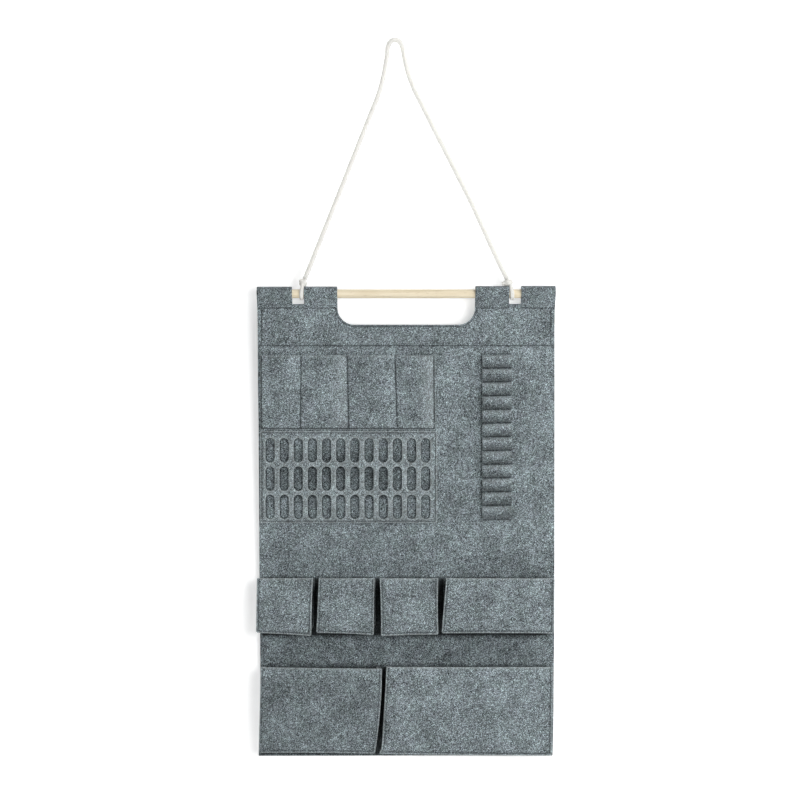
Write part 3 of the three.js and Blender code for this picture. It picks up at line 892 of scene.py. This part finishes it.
# Box pockets, in mm. foot is how high the bottom edge stands at its left, middle and right; top is
# the same for the top edge's ends; left and right are how far to the right the sides stand at their
# top, middle and foot. corner is the same for the left foot's last bit. shade is how much darker the
# felt of the front is.
POCKET_SHAPES = {
    "upper_pocket_1": {"foot": (2.4, 0.4, -3.0), "left": (0.0, -1.0, -2.0), "right": (-2.0, -3.6, -4.0)},
    "upper_pocket_2": {
        "foot": (2.0, 1.0, -1.8), "left": (-0.6, -2.7, -5.0), "right": (-2.6, -3.3, -3.4),
        "shade": 0.11,
    },
    "upper_pocket_3": {
        "foot": (-3.2, 0.6, -0.6), "left": (-2.5, -0.9, -0.8), "right": (0.2, -0.5, 1.0),
        "shade": 0.04,
    },
    "upper_pocket_4": {"foot": (1.4, 0.4, 1.4), "left": (5.0, 0.8, -3.2), "right": (0.4, -0.1, -0.6)},
    "lower_pocket_left": {
        "foot": (1.4, 0.8, 0.0), "top": (0, -2.6), "left": (3.4, 1.5, -0.4), "right": (2.2, 3.1, -1.8),
        "shade": 0.2,
    },
    "lower_pocket_right": {
        "foot": (-0.6, -0.4, -3.6), "left": (1.4, 0.9, -0.2), "right": (-1.4, -2.2, -3.0),
        "corner": -5.0,
    },
}
# How suddenly the turned corner begins, and how far a side's shape reaches at the panel
POCKET_CORNER_TURN = 24
POCKET_REACH = 0.25


def pocket_corners(name):
    """The front's corners from the frame: its sides may lean, so the ends of each are looked up."""
    vertices = np.array([v.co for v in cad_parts[name + "_front"].data.vertices])
    low, high = vertices.min(0), vertices.max(0)
    near_top = vertices[vertices[:, 2] > high[2] - MM]
    near_foot = vertices[vertices[:, 2] < low[2] + POCKET_CORNER / 2]
    foot_left = near_foot[:, 0].min() - POCKET_FOOT_CUT
    foot_right = near_foot[:, 0].max() + POCKET_FOOT_CUT
    return near_top[:, 0].min(), near_top[:, 0].max(), foot_left, foot_right, low[2], high[2]


def build_pocket(name):
    corners = pocket_corners(name)
    top_left, top_right, foot_left, foot_right, foot, top = corners
    low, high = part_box(name + "_front")
    shape = POCKET_SHAPES[name]
    middle_y = (low.y + high.y) / 2
    height = top - foot

    def shaped(x, z, depth):
        """Where a point of the straight pocket goes; depth is 0 on the panel and 1 on the front."""
        across = share(x, foot_left, foot_right)
        down = share(z, top, foot)
        left_foot, middle_foot, right_foot = shape["foot"]
        foot_lift = blend(left_foot, right_foot, across) + middle_foot * np.sin(math.pi * across)
        left_side = bend_through(shape["left"], down) + shape.get("corner", 0) * down ** POCKET_CORNER_TURN
        right_side = bend_through(shape["right"], down)
        shift = left_side * (1 - across) ** 2 + right_side * across ** 2
        lift = foot_lift * down ** 2 + blend(*shape.get("top", (0, 0)), across) * (1 - down) ** 2
        return x + shift * blend(POCKET_REACH, 1, depth) * MM, z + lift * depth * MM

    def edges_at(v):
        down = (top - v) / height
        return blend(top_left, foot_left, down), blend(top_right, foot_right, down)

    def place(u, v, h):
        across = share(u, *edges_at(v))
        upright = POCKET_BELLY_START + POCKET_BELLY_SPAN * share(v, top, foot)
        belly = np.sin(math.pi * across) ** POCKET_BELLY_ACROSS
        belly = belly * np.sin(math.pi * upright) ** POCKET_BELLY_UPRIGHT
        bulge = (POCKET_BULGE + POCKET_WAVE * np.sin(POCKET_WAVE_U * u + POCKET_WAVE_V * v)) * belly
        x, z = shaped(u, v, 1.0)
        return hung(x, middle_y - bulge - h, z)

    def seam_line(inset, seam_top):
        """Down the left side, across the foot and up the right side."""
        left, right = edges_at(seam_top)
        return [
            (left + inset, seam_top), (foot_left + inset, foot + inset),
            (foot_right - inset, foot + inset), (right - inset, seam_top),
        ]

    corner = POCKET_CORNER
    outline = [(top_left + MM, top), (top_left, top - MM), (foot_left, foot + corner)]
    outline += arc((foot_left + corner, foot + corner), corner, 190, 260, 3)
    outline += [(foot_left + corner, foot), (foot_right - corner, foot)]
    outline += arc((foot_right - corner, foot + corner), corner, 280, 350, 3)
    outline += [(foot_right, foot + corner), (top_right, top - MM), (top_right - MM, top)]
    seams = [seam_line(POCKET_SEAM, top - 2 * MM)]
    # Painted highlight on the cut edges and painted shade along the seam; shade darkens the whole front by
    # the amount POCKET_SHAPES gives
    front = felt_sheet(
        name + "_front_felt", [subdivided(outline, EDGE_STEP)], place, seams, spacing=STRIP_GRID,
        edge_highlight=1.3, edge_highlight_width=MM, dark=0.6, shade=lambda u, v: shape.get("shade", 0.0),
    )
    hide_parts(name + "_front")
    thread = stitching(name + "_stitches", place, seams)
    sewn_through.append(seam_line(POCKET_FLANGE / 2, top))
    build_gusset(name, corners, shaped)


def build_gusset(name, corners, shaped):
    """A felt band bent to a channel, its two flanges sewn to the front and to the panel."""
    top_left, top_right, foot_left, foot_right, foot, top = corners
    low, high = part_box(name + "_gusset")
    half = FELT / 2
    inset = POCKET_FLANGE + half
    bend = GUSSET_BEND
    bend_z = foot + inset + bend
    path = [(top_left + inset, top), (foot_left + inset, bend_z)]
    path += arc((foot_left + inset + bend, bend_z), bend, 183, 267, 8)
    path += arc((foot_right - inset - bend, bend_z), bend, 273, 357, 8)
    path += [(foot_right - inset, bend_z), (top_right - inset, top)]
    path = subdivided(path, STRIP_GRID, closed=False)
    outward = -line_normals(path)
    lengths = lengths_along(path)
    to_end = np.minimum(lengths, lengths[-1] - lengths)

    curl = GUSSET_CURL
    near, far = high.y - half, low.y + half
    spine = [(inset, near)] + arc((curl, near - curl), curl, 90, 180, 5)
    spine += [(-GUSSET_SWELL, (near + far) / 2)]
    spine += arc((curl, far + curl), curl, 180, 270, 5) + [(inset, far)]
    spine = subdivided(spine, EDGE_STEP, closed=False)
    thick = line_normals(spine) * GUSSET_THICKNESS / 2
    ring = np.concatenate([spine + thick, (spine - thick)[::-1]])
    depth = share(ring[:, 1], near, far)

    rings = []
    for point, out, walked, end in zip(path, outward, lengths, to_end):
        wave = math.sin(walked * GUSSET_SLACK_WAVE + top_left * GUSSET_SLACK_SHIFT)
        slack = GUSSET_SLACK * wave * min(1, end / GUSSET_SLACK_END)
        offset = ring[:, 0] - slack * np.sin(math.pi * depth)
        cut_back = GUSSET_CUT * (1 - depth) * (end < MM)
        x, z = shaped(point[0] + out[0] * offset, point[1] + out[1] * offset - cut_back, depth)
        rings.append(hung(x, ring[:, 1], z))
    count = len(ring)
    faces = [face[::-1] for face in tube_faces(len(rings), count)[:-2]]
    for start, step in ((0, -1), ((len(rings) - 1) * count, 1)):
        for i in range(count // 2 - 1):
            face = (start + i, start + count - 1 - i, start + count - 2 - i, start + i + 1)
            faces.append(face[::step])
    along_flange = np.arange(count) % (count // 2)
    flange = np.minimum(along_flange, count // 2 - 1 - along_flange)
    # Painted highlight on the cut ends and along the flanges' edges, and painted shade deep in the channel
    painted_highlight = np.maximum(np.exp(-to_end / EDGE_HIGHLIGHT_WIDTH)[:, None], np.exp(-flange * GUSSET_HIGHLIGHT_FADE)[None, :])
    channel_shade = GUSSET_SHADE * (1 - np.tile(depth, len(rings))) ** GUSSET_SHADE_POWER
    gusset = mesh_object(
        name + "_gusset_felt", np.concatenate(rings), faces, felt_material, "organizer",
        {"painted_highlight": painted_highlight.ravel(), "painted_shade": channel_shade},
    )
    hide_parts(name + "_gusset")
    lengths_along(spine)[-1]


# Rope
Rope = namedtuple("Rope", "vertices faces valleys line length")


def smooth_path(points, step):
    """A centripetal Catmull-Rom curve through the points, as evenly spaced points."""
    points = np.asarray(points, float)
    ends = np.concatenate([[2 * points[0] - points[1]], points, [2 * points[-1] - points[-2]]])
    out = []
    for p0, p1, p2, p3 in zip(ends, ends[1:], ends[2:], ends[3:]):
        t1 = np.linalg.norm(p1 - p0) ** 0.5
        t2 = t1 + np.linalg.norm(p2 - p1) ** 0.5
        t3 = t2 + np.linalg.norm(p3 - p2) ** 0.5
        t = np.linspace(t1, t2, SMOOTH_STEPS, endpoint=False)[:, None]
        a1 = blend(p0, p1, t / t1)
        a2 = blend(p1, p2, (t - t1) / (t2 - t1))
        a3 = blend(p2, p3, (t - t2) / (t3 - t2))
        out.append(blend(blend(a1, a2, t / t2), blend(a2, a3, (t - t1) / (t3 - t1)), (t - t1) / (t2 - t1)))
    dense = np.concatenate(out + [points[-1:]])
    lengths = lengths_along(dense)
    at = np.linspace(0, lengths[-1], max(2, round(lengths[-1] / step)) + 1)
    return np.stack([np.interp(at, lengths, dense[:, k]) for k in range(3)], axis=1), lengths[-1]


def rope(points, radius, lay, flare=0.0):
    """A laid rope along a path, with how deep each point lies between the strands; flare opens its
    last end."""
    line, length = smooth_path(points, ROPE_STEP)
    tangents = unit(np.gradient(line, axis=0))
    normal = unit(np.cross(tangents[0], ASIDE))
    angles = round_angles(ROPE_SIDES)
    span = math.pi / CORD_STRANDS
    to_end = np.linspace(length, 0, len(line))
    rings = []
    valleys = []
    for point, tangent, walked, left in zip(line, tangents, lengths_along(line), to_end):
        normal = unit(normal - tangent * (normal @ tangent))
        turn = (angles + 2 * math.pi * walked / lay) % (2 * span) - span
        lobe = np.sqrt(np.clip(1 - (turn / span) ** 2 * STRAND_ROUND, 0, 1))
        opened = 1 + flare * max(0, 1 - left / (FLARE_REACH * radius)) ** 2
        size = radius * (1 - STRAND_DEPTH * (1 - lobe)) * opened
        aside = np.outer(np.sin(angles), np.cross(tangent, normal))
        rings.append(point + size[:, None] * (np.outer(np.cos(angles), normal) + aside))
        valleys.append(1 - lobe)
    faces = tube_faces(len(line), ROPE_SIDES)
    return Rope(np.concatenate(rings), faces, np.concatenate(valleys), line, length)


def rope_object(name, ropes, material):
    vertices, faces = joined([(one.vertices, one.faces) for one in ropes])
    valley = np.concatenate([one.valleys for one in ropes])
    return mesh_object(name, vertices, faces, material, "hanger", {"valley": valley})


# The two hitches, in mm: how far the turn stands in from the box's outer side and the knot from its
# right side, how wide the knot is, and where the cut tail goes from the knot's middle
HITCHES = {
    "left_cord_hitch": {
        "side": -1, "turn": 5.0, "knot": 7.4, "wide": 4.3, "tail": ((-2.8, -2.0, 2.6), (-5.0, -1.5, 4.6)),
    },
    "right_cord_hitch": {
        "side": 1, "turn": 4.4, "knot": 11.4, "wide": 5.6, "tail": ((-5.0, -2.4, -0.2), (-10.4, -1.8, -1.8)),
    },
}
# The turn's first and last points: how near the turn's side each is, and its y, and its z from the
# knot's middle, in mm
HITCH_START = ((0, -1.5, 2), (0.55, -5.2, -4))
HITCH_END = ((0.3, 4.8, -4), (0, 1.5, 2))
# The turn round the dowel: angles from the top over the front, and how near the knot's side each is
HITCH_TURN = (
    (58, 0.12), (85, 0), (115, 0), (150, 0), (180, 0), (215, 0), (250, 0), (285, 0.1), (310, 0.3)
)
HITCH_LAY = 22 * MM
KNOT_LAY = 20 * MM
KNOT_DROP = 6.6 * MM
KNOT_STEPS = 26
KNOT_TURN_STEPS = 12
KNOT_HEIGHT = 7 * MM
KNOT_LEAN = 0.42
KNOT_TAPER = 0.25
CORE_RADIUS = 3.4 * MM
CORE_REACH = (-6 * MM, 0, 7.5 * MM)
TAIL_RADIUS = 3.2 * MM
# The turn is pressed against the dowel: how much thinner and how much wider that makes it
PRESSED_THIN = 0.6
PRESSED_WIDE = 1.3
PRESSED_SPAN = (DOWEL_RADIUS + 7 * MM, DOWEL_RADIUS + 3 * MM)


def pressed(turn):
    """A rope whose round section is flattened where it lies on the dowel."""
    middle = np.repeat(turn.line, ROPE_SIDES, axis=0)
    radial = (middle - (0, 0, AXIS_Z)) * (0, 1, 1)
    reach = np.linalg.norm(radial, axis=1)[:, None]
    radial = radial / reach
    near = share(reach, *PRESSED_SPAN)
    offset = turn.vertices - middle
    out = (offset * radial).sum(1)[:, None]
    offset = offset - near * (1 - PRESSED_THIN) * out * radial
    offset[:, :1] *= 1 + near * (PRESSED_WIDE - 1)
    return turn._replace(vertices=middle + offset)


def build_hitch(name, side, turn, knot, wide, tail):
    """The cord's end: a knot over the tab, one turn round the dowel and a short cut tail."""
    low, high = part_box(name)
    turn_x = (low.x if side < 0 else high.x) - side * turn * MM
    knot_x = high.x - knot * MM
    knot_z = high.z - KNOT_DROP
    ring = DOWEL_RADIUS + HITCH_RADIUS * PRESSED_THIN + 0.1 * MM
    lean = turn_x - knot_x

    path, way_out = (
        [(knot_x + lean * part, y * MM, knot_z + z * MM) for part, y, z in way]
        for way in (HITCH_START, HITCH_END)
    )
    for angle, part in HITCH_TURN:
        a = math.radians(angle)
        path.append((turn_x - lean * part, -ring * math.sin(a), AXIS_Z + ring * math.cos(a)))
    path += way_out

    axis = unit(np.array([-side * KNOT_LEAN, 0.0, 1.0]))
    across = unit(np.cross(axis, [0.0, 1.0, 0.0]))
    depth = np.cross(across, axis)
    centre = np.array([knot_x, 0, knot_z])
    coil = []
    for step in range(KNOT_STEPS + 1):
        angle = 2 * math.pi * step / KNOT_TURN_STEPS * side
        from_middle = step / KNOT_STEPS - 0.5
        size = wide * MM * (1 - KNOT_TAPER * abs(2 * from_middle) ** 3)
        aside = (across * math.cos(angle) + depth * math.sin(angle)) * size
        coil.append(centre + axis * from_middle * KNOT_HEIGHT + aside)
    core = [centre + axis * reach for reach in CORE_REACH]
    tail_path = [centre + (0, -MM, 0)] + [centre + np.array(point) * MM for point in tail]
    ropes = [
        pressed(rope(path, HITCH_RADIUS, HITCH_LAY)), rope(coil, KNOT_RADIUS, KNOT_LAY),
        rope(core, CORE_RADIUS, HITCH_LAY), rope(tail_path, TAIL_RADIUS, HITCH_LAY, flare=0.12),
    ]
    hitch = rope_object(name + "_rope", ropes, knot_cotton)
    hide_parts(name)
    return hitch


def build_cord():
    points = [(x * MM, 0, z * MM) for x, z in CORD_POINTS]
    main = rope(points, CORD_RADIUS, CORD_LAY)
    cord = rope_object("cord_rope", [main], cord_cotton)
    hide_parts("hanging_cord")
    hitches = [build_hitch(name, **hitch) for name, hitch in HITCHES.items()]
    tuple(points[0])


def build_dowel():
    """A turned stick with a small round at each end."""
    low_x, high_x = dowel_low.x, dowel_high.x
    inner = DOWEL_RADIUS - DOWEL_ROUND
    end = [(low_x, inner - DOWEL_FLAT)] + arc((low_x + DOWEL_ROUND, inner), DOWEL_ROUND, 180, 90, 6)
    body = np.linspace(low_x + DOWEL_BODY, high_x - DOWEL_BODY, DOWEL_STATIONS)
    profile = end + [(x, DOWEL_RADIUS) for x in body]
    profile += [(low_x + high_x - x, radius) for x, radius in reversed(end)]
    vertices = [
        (x, radius * math.cos(a), AXIS_Z + radius * math.sin(a))
        for x, radius in profile for a in round_angles(DOWEL_SIDES)
    ]
    faces = tube_faces(len(profile), DOWEL_SIDES)
    stick = mesh_object("dowel_stick", vertices, faces, wood_material, "dowel")
    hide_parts("dowel")


# Materials
def linear(red, green, blue):
    """A colour written in 0 to 255 as the shader's own values."""
    values = [c / 255 for c in (red, green, blue)]
    return tuple(c / 12.92 if c <= 0.04045 else ((c + 0.055) / 1.055) ** 2.4 for c in values) + (1.0,)


class Nodes:
    """A short way to write the nodes of a material or a world."""

    def __init__(self, owner, output="ShaderNodeOutputMaterial"):
        owner.use_nodes = True
        self.owner = owner
        self.tree = owner.node_tree
        self.tree.nodes.clear()
        self.output = self.tree.nodes.new(output)

    def add(self, kind, settings=None, **inputs):
        node = self.tree.nodes.new(kind)
        for key, value in (settings or {}).items():
            setattr(node, key, value)
        for key, value in inputs.items():
            socket = node.inputs[int(key[1:])] if key[0] == "_" else node.inputs[key.replace("_", " ")]
            if isinstance(value, bpy.types.NodeSocket):
                self.tree.links.new(value, socket)
            else:
                socket.default_value = value
        return node

    def place(self, **mapping):
        """Where a point is on its own object, turned or stretched."""
        straight = self.add("ShaderNodeTexCoord").outputs["Object"]
        return self.add("ShaderNodeMapping", Vector=straight, **mapping).outputs[0] if mapping else straight

    def noise(self, coordinates, scale, detail=2.0, roughness=0.5, distortion=0.0):
        return self.add(
            "ShaderNodeTexNoise", Vector=coordinates, Scale=scale, Detail=detail,
            Roughness=roughness, Distortion=distortion,
        ).outputs["Fac"]

    def math(self, operation, a, b=0.0):
        return self.add("ShaderNodeMath", {"operation": operation}, _0=a, _1=b).outputs[0]

    def fit(self, value, low, high, to_low=0.0, to_high=1.0):
        return self.add(
            "ShaderNodeMapRange", _0=value, _1=low, _2=high, _3=to_low, _4=to_high
        ).outputs[0]

    def mix(self, part, a, b, blend_type="MIX"):
        settings = {"data_type": "RGBA", "blend_type": blend_type}
        return self.add("ShaderNodeMix", settings, _0=part, _6=a, _7=b).outputs[2]

    def value(self, name):
        return self.add("ShaderNodeAttribute", {"attribute_name": name}).outputs["Fac"]

    def either(self, part, first, second):
        return self.add("ShaderNodeMixShader", _0=part, _1=first.outputs[0], _2=second.outputs[0])

    def finish(self, shader):
        self.tree.links.new(shader.outputs[0], self.output.inputs["Surface"])
        return self.owner

    def finish_rough(self, colour, relief, strength, distance, **looks):
        """The material of a surface that relief, strength and distance make uneven."""
        bump = self.add("ShaderNodeBump", Strength=strength, Distance=distance, Height=relief)
        looks = {"Base_Color": colour, "Normal": bump.outputs[0], **looks}
        return self.finish(self.add("ShaderNodeBsdfPrincipled", **looks))


# Share, cells per metre, detail, roughness and distortion of each size of blotch in the felt
FELT_BLOTCHES = (
    (0.75, 26, 2, 0.6, 0.0),
    (0.85, 150, 2, 0.7, 0.4),
    (2.4, 480, 2, 0.8, 1.2),
    (4.4, 840, 1, 0.6, 0.4),
)
FELT_TURN = (0.5, 0.35, 0.6)
FIBRE_WIDTH = 0.022


def make_felt(name, middle):
    """Melange wool felt: matted light and dark fibres, blotched from clouds down to speckles. The
    noise is turned, because its cells lie too even in a sheet that is square to them."""
    n = Nodes(bpy.data.materials.new(name))
    place = n.place(Rotation=FELT_TURN)

    def fibre(scale, distortion, crossing):
        """Thin curled lines, where a noise crosses one value."""
        gap = n.math("SUBTRACT", n.noise(place, scale, 1, 0.5, distortion), crossing)
        return n.fit(n.math("ABSOLUTE", gap), 0.0, FIBRE_WIDTH, 1, 0)

    tone = 1.0
    for part, *blotch in FELT_BLOTCHES:
        grain = n.math("SUBTRACT", n.noise(place, *blotch), 0.5)
        tone = n.math("ADD", tone, n.math("MULTIPLY", grain, part))
    tone = n.math("POWER", n.math("MAXIMUM", tone, 0.25), 2.2)
    colour = n.mix(1.0, middle, tone, "MULTIPLY")
    tint = n.mix(n.fit(n.noise(place, 62, 2, 0.5), 0.3, 0.7), linear(112, 136, 122), linear(138, 122, 148))
    colour = n.mix(0.2, colour, tint, "OVERLAY")
    light_fibre = fibre(380, 1.8, 0.5)
    # The light and dark fibres are the felt's own; the last mix is a painted highlight where the mesh asks
    # for one
    for amount, part, shade in (
        (light_fibre, 0.42, (186, 193, 196)), (fibre(420, 2.1, 0.47), 0.46, (52, 58, 62)),
        (n.value("painted_highlight"), 0.34, (186, 194, 194)),
    ):
        colour = n.mix(n.math("MULTIPLY", amount, part), colour, linear(*shade))
    # Painted shade where the mesh asks for it: along seams, in and round the slots, on the tabs, under and
    # between the pockets, on the loops' lower parts and deep in the gussets. The same value also darkens some
    # pocket fronts all over
    colour = n.mix(n.math("MINIMUM", n.value("painted_shade"), 1.0), colour, linear(24, 27, 28))
    relief = n.math("ADD", n.noise(place, 700, 4, 0.7, 0.3), n.math("MULTIPLY", light_fibre, 0.35))
    return n.finish_rough(
        colour, relief, 0.44, 0.5 * MM, Roughness=0.95, Specular_IOR_Level=0.15,
        Sheen_Weight=0.12, Sheen_Roughness=0.6,
    )


def make_thread():
    """Spun polyester thread, twisted, darker than the felt."""
    n = Nodes(bpy.data.materials.new("thread"))
    twist = n.noise(n.place(), 2600, 2, 0.6)
    colour = n.mix(twist, linear(40, 45, 48), linear(80, 86, 90))
    return n.finish_rough(colour, twist, 0.4, 0.1 * MM, Roughness=0.6, Specular_IOR_Level=0.3)


def make_wood():
    """Pale sanded beech: straight grain along the stick, fine pores and a few darker streaks."""
    n = Nodes(bpy.data.materials.new("beech"))
    grain = n.noise(n.place(Scale=(1.0, 22.0, 22.0)), 9, 5, 0.6, 0.4)
    pores = n.noise(n.place(Scale=(1.0, 14.0, 14.0)), 90, 2, 0.6)
    colour = n.mix(n.fit(grain, 0.3, 0.7), linear(219, 204, 173), linear(243, 232, 208))
    colour = n.mix(n.fit(pores, 0.6, 0.72, 0, 0.5), colour, linear(176, 152, 116))
    return n.finish_rough(colour, grain, 0.25, 0.2 * MM, Roughness=0.55, Specular_IOR_Level=0.35)


def make_cotton(name, depth, dark, light):
    """Unbleached cotton rope: soft yarns, with a painted shade between the strands. depth is how far
    light gets into it, which is less where the rope is knotted tight; dark and light are its yarns' greys."""
    n = Nodes(bpy.data.materials.new(name))
    place = n.place()
    yarn = n.noise(place, 1300, 3, 0.65, 0.6)
    slub = n.noise(place, 160, 2, 0.5)
    colour = n.mix(yarn, linear(dark, dark - 1, dark - 6), linear(light, light - 1, light - 5))
    colour = n.mix(n.fit(slub, 0.35, 0.7, 0, 0.25), colour, linear(212, 209, 198))
    # Painted shade between the strands, deeper where the rope lies deeper between them
    colour = n.mix(n.fit(n.value("valley"), 0.25, 1.0, 0, 0.6), colour, linear(188, 185, 175))
    return n.finish_rough(
        colour, yarn, 0.5, 0.3 * MM, Roughness=0.9, Specular_IOR_Level=0.15,
        Subsurface_Weight=min(1.0, depth / (2 * MM)), Subsurface_Scale=max(depth, MM),
        Subsurface_Radius=(1.0, 1.0, 1.0),
    )


# Light, wall and floor. A lamp is its offset from the organizer's middle, its size and its power.
WALL_AT_FOOT = 3 * MM
WALL_AT_DOWEL = 35 * MM
WALL_WHITE = 0.86
FLOOR_WHITE = 0.86
WALL_GLOW = (0.4, 0.52)
STAGE_REACH = 4.0
WALL_TOP = 2.5
FLOOR_Z = -2.1
WORLD_LIGHT = 0.1
WORLD_SEEN = 1.0
LAMPS = {
    "key": ((1.1, -3.0, 0.4), 1.2, 56),
    "fill": ((-2.7, -2.6, 0.4), 2.0, 16),
    "side": ((2.9, -1.6, 2.5), 2.2, 89),
    "rear": ((-1.2, 2.6, 1.4), 2.0, 60),
}


def make_paint(name, white):
    """White paint that keeps the object's shadow; from behind it isn't there. What the camera sees
    of it glows a little, and more at the organizer's foot."""
    n = Nodes(bpy.data.materials.new(name))
    height = n.add("ShaderNodeSeparateXYZ", _0=n.place()).outputs["Z"]
    diffuse = n.add("ShaderNodeBsdfDiffuse", Color=(white, white, white, 1), Roughness=0.5)
    glow = n.add("ShaderNodeEmission", Color=(1, 1, 1, 1), Strength=n.fit(height, AXIS_Z, BOTTOM, *WALL_GLOW))
    path = n.add("ShaderNodeLightPath")
    seen = n.math("MAXIMUM", path.outputs["Is Camera Ray"], path.outputs["Is Glossy Ray"])
    both = n.add("ShaderNodeAddShader", _0=diffuse.outputs[0], _1=glow.outputs[0])
    front = n.either(seen, diffuse, both)
    behind = n.add("ShaderNodeNewGeometry").outputs["Backfacing"]
    return n.finish(n.either(behind, front, n.add("ShaderNodeBsdfTransparent")))


def stage_plane(name, corners, material, stops_light=True):
    mesh = bpy.data.meshes.new(name)
    mesh.from_pydata(corners, [], [(0, 1, 2, 3)])
    mesh.materials.append(material)
    plane = bpy.data.objects.new(name, mesh)
    plane.visible_shadow = stops_light
    link(plane)
    plane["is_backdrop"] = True


def build_stage():
    """A floor and a wall: the organizer's foot rests on the wall and its dowel hangs off it."""
    slope = (WALL_AT_DOWEL - WALL_AT_FOOT) / (AXIS_Z - BOTTOM)
    low_y, high_y = (WALL_AT_FOOT + slope * (z - BOTTOM) for z in (FLOOR_Z, WALL_TOP))
    left, right = -STAGE_REACH, STAGE_REACH
    wall_foot = [(left, low_y, FLOOR_Z), (right, low_y, FLOOR_Z)]
    wall_top = [(right, high_y, WALL_TOP), (left, high_y, WALL_TOP)]
    floor_front = [(left, -STAGE_REACH, FLOOR_Z), (right, -STAGE_REACH, FLOOR_Z)]
    wall_paint, floor_paint = make_paint("wall_paint", WALL_WHITE), make_paint("floor_paint", FLOOR_WHITE)
    stage_plane("wall", wall_foot + wall_top, wall_paint, stops_light=False)
    stage_plane("floor", floor_front + wall_foot[::-1], floor_paint)


def area_light(name, offset, size, power):
    data = bpy.data.lights.new(name, "AREA")
    data.shape = "SQUARE"
    data.size = size
    data.energy = power
    lamp = bpy.data.objects.new(name, data)
    offset = Vector(offset)
    lamp.location = Vector(((LEFT + RIGHT) / 2, 0, (BOTTOM + AXIS_Z) / 2)) + offset
    lamp.rotation_euler = (-offset).to_track_quat("-Z", "Y").to_euler()
    link(lamp)


def build_light():
    for name, lamp in LAMPS.items():
        area_light(name, *lamp)
    world = bpy.data.worlds.new("studio")
    bpy.context.scene.world = world
    n = Nodes(world, "ShaderNodeOutputWorld")
    light, seen = (
        n.add("ShaderNodeBackground", Color=(1, 1, 1, 1), Strength=strength)
        for strength in (WORLD_LIGHT, WORLD_SEEN)
    )
    path = n.add("ShaderNodeLightPath")
    direct = n.math("MAXIMUM", path.outputs["Is Camera Ray"], path.outputs["Is Transmission Ray"])
    n.finish(n.either(direct, light, seen))
    bpy.context.scene.view_settings.view_transform = "Standard"


add_camera()
cord_cotton = make_cotton("cotton_cord", 18 * MM, 201, 222)
knot_cotton = make_cotton("cotton_knot", 0.0, 216, 241)
build_cord()

felt_material = make_felt("grey_felt", linear(107, 116, 118.5))
thread_material = make_thread()
wood_material = make_wood()
build_dowel()
sewn_through = []
open_slots = []
build_flat_pockets()
build_slotted_sheet()
build_tool_loops()
for pocket in POCKET_SHAPES:
    build_pocket(pocket)
build_back_panel()

build_stage()
build_light()

boxes = {"cad": cad_bounds, "visual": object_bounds()}
{key: [list(corner) for corner in box] for key, box in boxes.items()}
